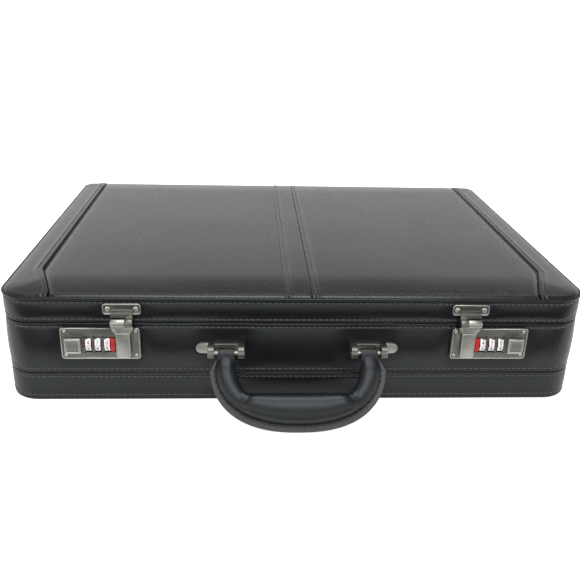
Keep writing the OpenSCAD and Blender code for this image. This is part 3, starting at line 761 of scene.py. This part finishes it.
def edge_distance(x, y):
    """Distance inside the outline, and the inward direction it is measured in."""
    best = min(
        (SIDE_X - abs(x), Vector((-math.copysign(1, x), 0, 0))),
        (y - FRONT_Y, Vector((0, 1, 0))),
        (REAR_Y - y, Vector((0, -1, 0))),
        key=lambda pair: pair[0],
    )
    for cy, r, way in ((FRONT_Y + FRONT_R, FRONT_R, -1), (REAR_Y - REAR_R, REAR_R, 1)):
        centre = Vector((math.copysign(SIDE_X - r, x), cy, 0))
        out = Vector((x, y, 0)) - centre
        if out.x * math.copysign(1, x) > 0 and out.y * way > 0 and out.length > 1e-6:
            best = (r - out.length, -out.normalized())
    return best


def crown_height(d):
    """Height of the padded top above the welt, d in from the edge: a tight roll, then a long soft slope."""
    if d < EDGE_SET:
        return -0.7
    d -= EDGE_SET
    roll = min(1.0, d / EDGE_ROLL)
    slope = max(0.0, 1 - d / (ROLL_REACH - EDGE_SET))
    rise = TOP_Z - CROWN_Z - SLOPE_FALL
    return rise * (1 - (1 - roll) ** 3) ** 0.5 + SLOPE_FALL * (1 - slope ** 2)


def top_point(x, y, lift=0.0):
    """A point of the padded top, raised along the surface normal, and that normal."""
    d, inward = edge_distance(x, y)
    d = max(d, 0.0)
    step = 0.02
    slope = min(6.0, (crown_height(d + step) - crown_height(max(d - step, 0))) / (step + min(step, d)))
    normal = (Vector((0, 0, 1)) - inward * slope).normalized()
    dome = DOME * (1 - (x / SIDE_X) ** 2) * (1 - (y / REAR_Y) ** 2) * min(1, d / 30)
    wave = ripple(Vector((x, y, 3)), 70, 0.16) * min(1, d / 12)
    z = CROWN_Z + crown_height(d) + dome + wave
    return Vector((x, y, z)) + normal * lift, normal


def fold_lift(e, stitch):
    """Height of a folded and topstitched edge above the leather under it, e from its edge."""
    if e < FOLD:
        return FOLD * math.sqrt(max(1 - (1 - e / FOLD) ** 2, 0))
    settle = ease((e - stitch - 0.4) / 4.0)
    groove = 0.5 * math.exp(-(((e - stitch) / 0.65) ** 2))
    return FOLD * (1 - 0.75 * settle) - groove


def edge_steps(total, rest):
    """Distances from an edge, close together at the fold and at its stitches, then evenly spread."""
    steps = [0, 0.1, 0.25, 0.45, 0.7, 1.0, 1.6, 2.3, 2.7, 3.1, 3.5, 3.9, 4.3, 4.8, 5.6, 6.8, 8.4, 10.5]
    return steps + [10.5 + (total - 10.5) * k / rest for k in range(1, rest + 1)]


def roll_steps():
    """Distances in from the outline over the roll, closest together where it is steepest."""
    tight = [0.0, EDGE_SET - 0.03] + [EDGE_SET + EDGE_ROLL * (k / 14) ** 2 for k in range(15)]
    return tight + [tight[-1] + (ROLL_REACH - tight[-1]) * k / 9 for k in range(1, 10)]


def column_ys():
    """Depths of the top panels' rows, front to rear."""
    ys = [FRONT_Y + d for d in roll_steps()]
    middle = [ys[-1] + (REAR_Y - ROLL_REACH - ys[-1]) * k / 40 for k in range(1, 40)]
    return ys + middle + [REAR_Y - d for d in reversed(roll_steps())]


def seam_x(y):
    """Where the side seam is at a given depth."""
    if y > SEAM_BEND_Y:
        return SIDE_SEAM_X
    if y < FRONT_Y + 7:
        return SEAM_FRONT_X
    t = (y - FRONT_Y - 7) / (SEAM_BEND_Y - FRONT_Y - 7)
    return SEAM_FRONT_X + (SIDE_SEAM_X - SEAM_FRONT_X) * t


def crown_sheet(name, plan, thickness=SKIN):
    """A sheet on the crown from rows of (x, y, height above it)."""
    rows = [[top_point(x, y, lift) for x, y, lift in row] for row in plan]
    tops = [[p for p, _ in row] for row in rows]
    return sheet_mesh(name, tops, [[n for _, n in row] for row in rows], thickness)


def main_panel(name, s, own_fold):
    """A panel from the centre strip to the side seam, folded over the strip or tucked under it."""
    edge = STRIP_HALF if own_fold else STRIP_HALF - 0.5
    plan = []
    for y in column_ys():
        wide = seam_x(y) + 0.5 - edge
        row = []
        for e in edge_steps(wide, 26):
            lift = fold_lift(e, SEAM_STITCH) if own_fold else -TUCK * math.exp(-e / 1.2)
            row.append((s * (edge + e), y, lift - TUCK * math.exp((e - wide) / 1.6)))
        plan.append(row)
    # The top's leather carries painted light from above.
    panel = place(crown_sheet(name, plan), LEATHER_TOP_LIT, "lid", ["lid_panel_" + name.split("_")[-1]])


def centre_strip():
    """The strip down the middle: its left edge is folded over, its right edge tucked under."""
    total = 2 * STRIP_HALF + 0.5
    plan = [[(-STRIP_HALF + e, y, fold_lift(e, SEAM_STITCH) - TUCK * math.exp(-(total - e) / 1.2))
             for e in edge_steps(total, 5)] for y in column_ys()]
    # The top's leather carries painted light from above.
    place(crown_sheet("centre_strip", plan), LEATHER_TOP_LIT, "lid", ["lid_centre_strip"])


def seam_distance(x, y):
    """Plan distance from a point outboard of the side seam to that seam."""
    seam = [(SEAM_FRONT_X, FRONT_Y - 5), (SEAM_FRONT_X, FRONT_Y + 7), (SIDE_SEAM_X, SEAM_BEND_Y),
            (SIDE_SEAM_X, REAR_Y + 5)]
    best = 1e9
    for a, b in zip(seam, seam[1:]):
        a, b = Vector(a), Vector(b)
        t = max(0, min(1, (Vector((x, y)) - a).dot(b - a) / (b - a).length_squared))
        best = min(best, (Vector((x, y)) - a.lerp(b, t)).length)
    return best


def walk(points, s):
    """The point a distance s along a path."""
    for a, b in zip(points, points[1:]):
        piece = (b - a).length
        if s <= piece or b is points[-1]:
            return a.lerp(b, min(1.0, s / max(piece, 1e-9)))
        s -= piece
    return points[-1]


def side_panel(name, s):
    """A panel outboard of the side seam, from the front edge round both corners to the rear."""
    ends = (0, .1, .3, .6, 1, 1.8, 2.8, 3.4, 4, 4.6, 6, 9)
    start = [(Vector((SEAM_FRONT_X + d, FRONT_Y, 0)), Vector((0, -1, 0))) for d in ends]
    end = [(Vector((SIDE_SEAM_X + d, REAR_Y, 0)), Vector((0, 1, 0))) for d in reversed(ends)]

    def round_corner(p, n):
        """True past the straight front and rear edges."""
        r = FRONT_R if n.y < 0 else REAR_R
        return p.x > 0 and not (abs(n.y) > 0.999 and p.x < SIDE_X - r - 0.01)

    path = start + [(p, n) for p, n in outline(3.0, 12) if round_corner(p, n)] + end
    inner = 4.0
    inside = [p - n * inner for p, n in path]
    runs = [0.0]
    for a, b in zip(inside, inside[1:]):
        runs.append(runs[-1] + (b - a).length)
    seam = [Vector((x, y, 0)) for x, y in (
        (SEAM_FRONT_X, FRONT_Y + 7), (SIDE_SEAM_X, SEAM_BEND_Y), (SIDE_SEAM_X, REAR_Y - 7))]
    seam_length = sum((b - a).length for a, b in zip(seam, seam[1:]))
    rolls = [d for d in roll_steps() if d < inner - 0.2]
    flats = edge_steps(19.0, 2)
    plan = []
    for (p, n), q, run in zip(path, inside, runs):
        target = walk(seam, seam_length * run / runs[-1])
        spots = [p - n * d for d in rolls] + [target.lerp(q, e / flats[-1]) for e in reversed(flats)]
        plan.append([(s * v.x, v.y, fold_lift(seam_distance(v.x, v.y), SIDE_STITCH)) for v in spots])
    # The top's leather carries painted light from above.
    panel = place(crown_sheet(name, plan), LEATHER_TOP_LIT, "lid", ["lid_" + name])


def seam_stitches():
    """Topstitching beside the four seams of the lid."""
    ys = column_ys()[4:-4]
    for name, x in (("centre_left", -STRIP_HALF), ("centre_right", STRIP_HALF)):
        path = [top_point(x + SEAM_STITCH, y, fold_lift(SEAM_STITCH, SEAM_STITCH) - 0.1) for y in ys]
        place(stitch_row("stitches_" + name, path), THREAD_TOP, "lid")
    for name, s in SIDES.items():
        path = []
        for y in ys:
            x = seam_x(y - 1.2) + 3.7 if y < SEAM_BEND_Y else seam_x(y) + SIDE_STITCH
            path.append(top_point(s * x, y, fold_lift(SIDE_STITCH, SIDE_STITCH) - 0.1))
        place(stitch_row("stitches_side_" + name, path), THREAD_TOP, "lid")


def half_width(y):
    """Half the case's width at a depth, less where the corners are rounded."""
    for depth, r in ((y - FRONT_Y, FRONT_R), (REAR_Y - y, REAR_R)):
        if depth < r:
            return SIDE_X - r + math.sqrt(max(0.0, r * r - (r - depth) ** 2))
    return SIDE_X


def top_board():
    """The lid's board, shaped to lie under the padded leather all the way to its edge."""
    edge = [3.0, 3.6, 4.4, 5.4, 6.8, 8.6, 11, 15, 20, 26, 33, 42]

    def spread(low, high):
        """Close together at both ends, evenly spread between."""
        middle = [low + 42 + (high - low - 84) * k / 12 for k in range(1, 12)]
        return [low + d for d in edge] + middle + [high - d for d in reversed(edge)]

    plan = [[(x, y, -1.6) for x in spread(-half_width(y), half_width(y))] for y in spread(FRONT_Y, REAR_Y)]
    place(crown_sheet("lid_board", plan, thickness=1.8), BOARD, "lid", ["lid_top_board"])


def make_top():
    top_board()
    main_panel("main_panel_left", -1, False)
    main_panel("main_panel_right", 1, True)
    centre_strip()
    side_panel("side_panel_left", -1)
    side_panel("side_panel_right", 1)
    seam_stitches()


# ---- handle ----

PIN_HOLE = 1.62


def handle_point(x, t, n=0.0):
    """From the handle's own plane: x across, t away from the pins, n out of its upper face."""
    down = Vector((0, -math.cos(HANDLE_TILT), -math.sin(HANDLE_TILT)))
    face = Vector((0, -math.sin(HANDLE_TILT), math.cos(HANDLE_TILT)))
    return Vector((x, HANDLE_PIN.y, HANDLE_PIN.z)) + down * t + face * n


def bow(half, start, reach, power):
    """A squared-off curve from the left arm round the grip to the right arm."""
    points = []
    count = 80
    for k in range(count + 1):
        a = math.pi * k / count
        c, s = math.cos(a), math.sin(a)
        points.append((-math.copysign(abs(c) ** (2 / power), c) * half, start + (reach - start) * s ** (2 / power)))
    return points


def resample(points, count):
    """The same path with evenly spaced points."""
    path = [Vector((x, t, 0)) for x, t in points]
    total = sum((b - a).length for a, b in zip(path, path[1:]))
    return [walk(path, total * k / count) for k in range(count + 1)]


def inner_path():
    """The inside edge of the padding: straight arms, tight round corners and a straight grip."""
    half = [(49.1, 1.6), (48.6, 10.0), (47.6, 15.5), (45.9, 21.0),
            (43.6, 26.0), (41.3, 29.6), (39.0, 31.4), (36.0, 31.8)]
    return [(-x, t) for x, t in half] + [(0, 32.0)] + [(x, t) for x, t in reversed(half)]


def handle_pad():
    """Leather over padding: two arms and a grip, creased where they meet."""
    count = 120
    outer = resample([(-61.7, 1.6)] + bow(63.8, 11, 56.1, 2.27) + [(61.7, 1.6)], count)
    inner = resample(inner_path(), count)
    sections = 28
    rings = []
    for k, (o, i) in enumerate(zip(outer, inner)):
        middle = (o + i) / 2
        half = (o - i).length / 2
        reach = o - middle
        x = abs(middle.x)
        thick = 6.6 + 3.7 * ease(1 - (x - 33) / 14)
        thick *= 0.52 + 0.48 * ease(min(k, count - k) / 11)
        crease = math.exp(-(((x - 40.2) / 0.8) ** 2))
        puff = 1 - 0.055 * crease
        ring = []
        for j in range(sections):
            a = 2 * math.pi * j / sections
            c, s = math.cos(a), math.sin(a)
            across = math.copysign(abs(c) ** 0.86, c) * puff
            up = math.copysign(abs(s) ** 0.86, s) * thick * puff
            p = middle + reach * across
            wave = ripple(Vector((p.x, p.y, s * 9)), 14, 0.18)
            ring.append(handle_point(p.x, p.y, up + wave * s))
        rings.append(ring)
    return loft("handle_pad", rings)


def handle_seam():
    """The two layers of leather that are sewn together outside the padding."""
    count = 110
    outer = resample(bow(67.9, 7.5, 61.2, 2.4), count)
    inner = resample(bow(61.4, 5.5, 54.6, 2.27), count)
    parts = []
    for layer, (low, high) in {"upper": (0.06, 1.45), "lower": (-1.45, -0.06)}.items():
        rings = []
        for k, (o, i) in enumerate(zip(outer, inner)):
            end = min(1.0, k / 4, (count - k) / 4)
            edge = i.lerp(o, 0.25 + 0.75 * end)
            wave = ripple(Vector((o.x, o.y, 2)), 22, 0.25)
            outline_points = [
                (i, low), (edge.lerp(i, 0.04), low), (edge, low + 0.25), (edge, high - 0.35),
                (edge.lerp(i, 0.05), high - 0.08), (edge.lerp(i, 0.12), high), (i, high),
            ]
            rings.append([handle_point(p.x, p.y, n + wave) for p, n in outline_points])
        parts.append(loft("seam_" + layer, rings))
    return joined("handle_seam", parts)


def handle_stitches():
    """Heavy stitches where the seam allowance meets the padding."""
    curve = resample(bow(64.9, 8.5, 57.4, 2.3), 160)
    path = [(handle_point(p.x, p.y, 1.62 + ripple(Vector((p.x, p.y, 2)), 22, 0.25)),
             handle_point(0, 0, 1) - handle_point(0, 0, 0)) for p in curve[3:-3]]
    return stitch_row("handle_stitches", path, pitch=4.6, length=3.2, radius=0.42)


def handle_loops():
    """A leather tab round each pin that widens into the padded arm."""
    parts = []
    for s in (-1, 1):
        rings = []
        for k in range(15):
            x = s * BRACKET_X - 6.3 + 12.6 * k / 14
            edge = min(1.0, (k + 0.6) / 2.2, (14 - k + 0.6) / 2.2)
            r = 3.2 + 0.8 * math.sqrt(max(0, 1 - (1 - edge) ** 2))
            ring = []
            for a in angles(13, 15, -90):
                ring.append(handle_point(x, -r * math.cos(a), r * math.sin(a)))
            ring += [handle_point(x, 4.0, 0.9 * r), handle_point(x, 7.5, 0.6 * r), handle_point(x, 7.5, -0.6 * r),
                     handle_point(x, 4.0, -0.9 * r)]
            rings.append(ring)
        loop = loft("loop", rings)
        hole = [[handle_point(x, PIN_HOLE * math.sin(a), PIN_HOLE * math.cos(a)) for a in angles(24, 15)]
                for x in (s * BRACKET_X - 9, s * BRACKET_X + 9)]
        cut(loop, [loft("hole", hole)])
        parts.append(loop)
    return joined("handle_loops", parts)


def make_handle():
    pad = handle_pad()
    place(pad, LEATHER_HANDLE, "handle", ["handle_leather"])
    place(handle_seam(), LEATHER_EDGE, "handle", ["handle_flange"])
    place(handle_stitches(), THREAD_DARK, "handle")
    loops = place(handle_loops(), LEATHER_HANDLE, "handle")
    loops.data.set_sharp_from_angle(angle=math.radians(50))


# ---- hardware ----

TONGUE_HALF = 4.95
BUTTON_WIDTH = 12.4
BUTTON_HEIGHT = 12.8
RIM_INSET = 0.55


def circle(r, y):
    """Points round the Y axis."""
    return [Vector((r * math.cos(a), y, r * math.sin(a))) for a in angles(24, 15)]


def screw_head(name, radius, height):
    """A domed head with a cross cut into it, facing -Y at the origin."""
    rings = [circle(radius, 0.4)]
    rings += [circle(max(radius * math.cos(a), 0.02), -height * math.sin(a)) for a in angles(7, 15)]
    head = loft(name, rings)
    arm, wide = radius * 0.62, radius * 0.13
    depth = height * 0.42
    for x, z in ((arm, wide), (wide, arm)):
        cut(head, [box_mesh("slot", (-x, -height - 1, -z), (x, -height + depth, z))])
    head.data.set_sharp_from_angle(angle=math.radians(35))
    return head


def screw_ring(name, spot, radius):
    """A dark ring round a screw head: painted shadow of the gap round it."""
    rows = ((radius - 0.3, 0.3), (radius - 0.3, -0.06), (radius + 0.32, -0.06), (radius + 0.32, 0.3))
    return loft(name, [[spot + p for p in circle(r, y)] for r, y in rows], closed_path=True)


def screws(name, places, radius, height, body, node):
    """Copies of one screw head at several places, in the lighter nickel of painted highlight."""
    parts = []
    for k, (spot, turn) in enumerate(places):
        head = screw_head("%s_%d" % (name, k), radius, height)
        head.data.transform(Matrix.Translation(spot * MM) @ Matrix.Rotation(math.radians(turn), 4, "Y"))
        parts.append(head)
    place(joined(name, parts), NICKEL_LIT, body, [node])
    # Dark rings round the heads: painted shadow.
    rings = [screw_ring("%s_ring_%d" % (name, k), spot, radius) for k, (spot, turn) in enumerate(places)]
    place(joined(name + "_painted_shadows", rings), INK_AND_SHADOW, body)


def make_screws():
    low, high = box_mm("lock_plate_right")
    middle = (low + high) / 2
    face = low.y + 0.6
    spots = []
    for s in (-1, 1):
        for dx in (-27, 27):
            for dz in (-10.2, 10.2):
                spots.append((Vector((s * (middle.x + dx), face, middle.z + dz)), 17 * dx + 31 * dz * s))
    screws("lock_screw_heads", spots, 1.7, 0.75, "frame", "lock_screws")
    low, high = box_mm("hasp_bracket_right")
    spots = []
    for s in (-1, 1):
        for dx in (-10.6, 10.6):
            spots.append((Vector((s * (HASP_PIN.x + dx), FRONT_Y - 1.2, high.z - 4.5)), 23 * dx * s))
    screws("hasp_screw_heads", spots, 2.2, 1.0, "lid", "hasp_screws")


def figure(text, height):
    """One figure as a thin solid in the XZ plane, facing -Y, centred on the origin."""
    curve = bpy.data.curves.new("figure", "FONT")
    curve.body = text
    curve.size = height * 1.35 * MM
    curve.extrude = 0.06 * MM
    curve.resolution_u = 3
    curve.align_x = "CENTER"
    curve.align_y = "CENTER"
    holder = linked("figure", curve)
    graph = bpy.context.evaluated_depsgraph_get()
    mesh = bpy.data.meshes.new_from_object(holder.evaluated_get(graph))
    bpy.data.objects.remove(holder)
    xs = [v.co.x for v in mesh.vertices]
    ys = [v.co.y for v in mesh.vertices]
    mesh.transform(Matrix.Translation((-(min(xs) + max(xs)) / 2, -(min(ys) + max(ys)) / 2, 0)))
    mesh.transform(Matrix.Rotation(math.radians(90), 4, "X"))
    return mesh


def make_dials():
    """Ten-sided dials with a figure on each flat and an edge to the front."""
    figures = [figure(str(k), 3.2) for k in range(10)]
    for side in SIDES:
        for k in (1, 2, 3):
            node = "dial_%s_%d" % (side, k)
            low, high = box_mm(node)
            centre = (low + high) / 2
            flat = (high.y - low.y) / 2 * math.cos(math.radians(18))
            place(refined(node, 0.35, name=node + "_drum"), CHROME, node, [node])
            work = bmesh.new()
            for number, mesh in enumerate(figures):
                first = len(work.verts)
                work.from_mesh(mesh)
                work.verts.ensure_lookup_table()
                turn = Matrix.Rotation(math.radians(18 - 36 * ((number + 7 * k) % 10)), 4, "X")
                move = Matrix.Translation(centre * MM) @ turn @ Matrix.Translation(Vector((0, -flat * MM, 0)))
                bmesh.ops.transform(work, matrix=move, verts=work.verts[first:])
            place(from_work(node + "_figures", work), INK_AND_SHADOW, node)


def rounded_path(x0, x1, z0, z1, r, steps=5):
    """A rectangle with round corners in X and Z, anticlockwise."""
    points = []
    corners = ((x1 - r, z1 - r, 0), (x0 + r, z1 - r, 90), (x0 + r, z0 + r, 180), (x1 - r, z0 + r, 270))
    for cx, cz, start in corners:
        for k in range(steps + 1):
            a = math.radians(start + 90 * k / steps)
            points.append((cx + r * math.cos(a), cz + r * math.sin(a)))
    return points


def ridge(name, points, y, width, height, closed=True):
    """A rounded bead along a path in X and Z, standing out from the face at y."""
    rings = []
    count = len(points)
    for i, (x, z) in enumerate(points):
        before = points[i - 1] if closed or i > 0 else points[i]
        after = points[(i + 1) % count] if closed or i < count - 1 else points[i]
        along = Vector((after[0] - before[0], 0, after[1] - before[1])).normalized()
        across = Vector((-along.z, 0, along.x))
        rings.append([Vector((x, y, z)) + across * (width / 2 * math.cos(a)) + Vector((0, -height * math.sin(a), 0))
                      for a in angles(8, 45, 22.5)])
    return loft(name, rings, closed_path=closed)


def make_ridges(side, s):
    """The raised borders of a hasp's tongue, a button's face, and the hasp's and lock's plates, in a lighter nickel
    that paints their highlights; the button's face gets a darker sheet of painted shade.
    """
    low, high = box_mm("hasp_" + side)
    middle = (low.x + high.x) / 2
    face = HASP_PIN.y + 0.5
    foot = low.z
    path = rounded_path(middle - TONGUE_HALF, middle + TONGUE_HALF, foot + 0.6, foot + 20.6, 1.7)
    beads = [ridge("border", path, face, 0.85, 0.45)]
    for way in (-1, 1):
        path = [(middle + way * (TONGUE_HALF + 2.75 * (1 - math.cos(a)) ** 0.9), foot + 20.4 + 4.6 * math.sin(a))
                for a in angles(7, 15)]
        beads.append(ridge("flare", path, face, 0.8, 0.4, closed=False))
    place(joined("hasp_border_" + side, beads), NICKEL_LIT, "hasp_" + side)
    button = "lock_button_" + side
    low, high = box_mm(button)
    x0, x1 = (high.x - BUTTON_WIDTH, high.x) if s > 0 else (low.x, low.x + BUTTON_WIDTH)
    z0, z1 = low.z, low.z + BUTTON_HEIGHT
    path = rounded_path(x0 + 0.85, x1 - 0.85, z0 + 0.85, z1 - 0.85, 0.6)
    place(ridge("button_border_" + side, path, low.y, 1.7, 0.5), NICKEL_LIT, button)
    # A thin sheet of darker nickel over the button's face: painted shade.
    corners = (x0 + 1.3, low.y - 0.08, z0 + 1.3), (x1 - 1.3, low.y + 0.4, z1 - 1.3)
    place(box_mesh("button_shade_sheet_" + side, *corners), NICKEL_SHADED, button)
    low, high = box_mm("hasp_bracket_" + side)
    path = rounded_path(low.x + 0.5, high.x - 0.5, high.z - 8.5, high.z - 0.5, 1.9)
    place(ridge("hasp_plate_edge_" + side, path, FRONT_Y - 1.75, 0.95, 0.3), NICKEL_LIT, "lid")
    low, high = box_mm("lock_plate_" + side)
    top = high.z - RIM_INSET
    path = rounded_path(low.x + RIM_INSET, high.x - RIM_INSET, low.z + RIM_INSET, top, 1.9)
    gap = sorted((s * (HASP_PIN.x - 9.6), s * (HASP_PIN.x + 9.6)))
    path = [(gap[0], top)] + path[6:] + path[:6] + [(gap[1], top)]
    rim = ridge("lock_plate_edge_" + side, path, low.y + 0.03, 1.05, 0.3, closed=False)
    place(rim, NICKEL_LIT, "frame")


def leaf_end(side, s):
    """The leaf-shaped end of a handle bracket: a round lobe that rises over a slanting ridge to the lug."""
    z_mid = HANDLE_PIN.z + 1.0
    lobe_x, r = BRACKET_X + 19.4, 4.35
    root = BRACKET_X + 9.6
    outline_xz = [(root, z_mid + 4.35), (root, z_mid - 5.4), (root + 4.2, z_mid - 5.2), (lobe_x - 4.4, z_mid - 4.6)]
    outline_xz += [(lobe_x + r * math.cos(a), z_mid + r * math.sin(a)) for a in angles(11, 19, -100)]
    mean_x, mean_z = (sum(column) / len(outline_xz) for column in zip(*outline_xz))
    centre = Vector((mean_x, 0, mean_z))

    def rise(x, z):
        """Height above the case: highest along a line from the lobe's top to the lug's foot."""
        across = ((x - lobe_x + 1.5) * 0.62 + (z - z_mid - 3.2) * 0.78)
        high = 2.5 + 0.13 * max(0.0, lobe_x - x)
        return high - (0.22 * across if across > 0 else -0.10 * across)

    rings = []
    for share, drop in ((1.0, 9.0), (1.0, 0.75), (0.965, 0.3), (0.90, 0.06), (0.7, 0.0), (0.45, 0.0), (0.2, 0.0)):
        ring = []
        for x, z in outline_xz:
            px = centre.x + (x - centre.x) * share
            pz = centre.z + (z - centre.z) * share
            high = 0.0 if drop > 5 else rise(px, pz) - drop
            ring.append(Vector((s * px, FRONT_Y - high, pz)))
        rings.append(ring)
    leaf = loft("bracket_leaf_" + side, rings)
    place(leaf, NICKEL, "frame")


def lugs(side, s):
    """The two blocks that hold the handle's pin, flat above and round in front, and the bar between them."""
    parts = []
    for x0, x1 in ((BRACKET_X - 14.1, BRACKET_X - 9.0), (BRACKET_X + 9.2, BRACKET_X + 14.3)):
        profile = [(FRONT_Y - 0.9, 5.5), (HANDLE_PIN.y - 1.0, 5.5),
                   (HANDLE_PIN.y - 2.6, 4.9), (HANDLE_PIN.y - 3.6, 3.8)]
        profile += [(HANDLE_PIN.y + 4.35 * math.cos(a), 4.35 * math.sin(a))
                    for a in angles(11, 12.5, 145)]
        profile += [(FRONT_Y - 0.9, -4.3)]
        my, mz = HANDLE_PIN.y + 3, 0.5
        rings = []
        for x, share in ((x0, 0.02), (x0, 0.90), (x0 + 0.35, 1.0), (x1 - 0.35, 1.0), (x1, 0.90), (x1, 0.02)):
            rings.append([Vector((s * x, my + (y - my) * share, HANDLE_PIN.z + mz + (z - mz) * share))
                          for y, z in profile])
        parts.append(loft("lug", rings))
    bar = [(s * x, HANDLE_PIN.z + 4.6) for x in (BRACKET_X - 9.4, BRACKET_X, BRACKET_X + 9.6)]
    parts.append(ridge("bar", bar, FRONT_Y - 3.4, 1.7, 0.6, closed=False))
    piece = joined("bracket_lugs_" + side, parts)
    piece.data.set_sharp_from_angle(angle=math.radians(40))
    # Lugs in the darker nickel: painted shade.
    place(piece, NICKEL_DARKENED, "frame")


def slot_liners(side, s):
    """Thin metal that closes the plate's slots beside, above and below the dials."""
    dials = sorted(abs(sum((c.x for c in box_mm("dial_%s_%d" % (side, k)))) / 2) for k in (1, 2, 3))
    z = DIAL_Z
    parts = []
    for k, x in enumerate(dials):
        start = x - 2.7 if k else x - 7.3
        for x0, x1, z0, z1, y in (
            (x + 2.42, x + 3.75, z + 2.5, z + 7.5, 1.2), (x + 2.42, x + 3.75, z - 7.5, z - 2.5, 1.2),
            (start, x + 3.75, z + 6.35, z + 7.5, 1.55), (start, x + 3.75, z - 7.5, z - 6.35, 1.55),
        ):
            xs = sorted((s * x0, s * x1))
            parts.append(box_mesh("liner", (xs[0], FRONT_Y - 1.86, z0), (xs[1], FRONT_Y - y, z1)))
    # Liners in the darker nickel: painted shade in the slots.
    place(joined("slot_liners_" + side, parts), NICKEL_DARKENED, "frame")


def make_button_ribs(side):
    """Fine upright ribs in the button's face, in the darker nickel of painted shade."""
    low, high = box_mm("lock_button_" + side)
    s = SIDES[side]
    x0 = (high.x if s > 0 else -low.x) - BUTTON_WIDTH
    count = 13
    parts = []
    for k in range(count):
        x = s * (x0 + 1.9 + (BUTTON_WIDTH - 3.8) * k / (count - 1))
        rings = []
        for up, r in ((1.9, 0.05), (2.2, 0.30), (10.8, 0.30), (11.1, 0.05)):
            rings.append([Vector((x + r * math.cos(a), low.y + 0.05 + r * math.sin(a), low.z + up))
                          for a in angles(8, 45)])
        parts.append(loft("rib", rings))
    place(joined("button_ribs_" + side, parts), NICKEL_SHADED, "lock_button_" + side)


def make_locks():
    """Plates, hasps, buttons and slides with rounded edges, and what stands on them."""
    for side, s in SIDES.items():
        # Plates and hasp brackets take the darker nickel: painted shade.
        for node, bevel, material, body, slot in (
            ("lock_plate_", 0.32, NICKEL_DARKENED, "frame", "nickel"),
            ("hasp_", 0.35, NICKEL, "hasp_" + side, "nickel"),
            ("hasp_bracket_", 0.32, NICKEL_DARKENED, "lid", "nickel"),
            ("lock_button_", 0.3, NICKEL, "lock_button_" + side, "nickel"),
            ("reset_slide_", 0.2, RED, "reset_slide_" + side, "red_plastic"),
        ):
            place(refined(node + side, bevel), material, body, [node + side])
        make_button_ribs(side)
        make_ridges(side, s)
        leaf_end(side, s)
        lugs(side, s)
        slot_liners(side, s)
        place(refined("handle_bracket_" + side, 0.7, 3), NICKEL, "frame", ["handle_bracket_" + side])


# ---- pieces that keep their CAD shape ----


def dress(by_slot, by_node):
    """Gives each CAD node that stays its material, by node or else by record slot."""
    for row in frame["record"]["subparts"]:
        node = frame["nodes"][row["node"]]
        node.data.materials.clear()
        node.data.materials.append(by_node.get(row["node"], by_slot[row["material_slot"]]))


# The leather_top slot gets the lit copy of the leather, with its painted light.
dress({
    "leather_black": LEATHER, "leather_top": LEATHER_TOP_LIT, "board": BOARD, "lining": LINING,
    "nickel": NICKEL, "steel": STEEL, "chrome": CHROME, "red_plastic": RED,
}, {"handle_pins": NICKEL})
add_camera()
add_world()
add_stage()
make_bands()
make_top()
make_handle()
make_screws()
make_dials()
make_locks()
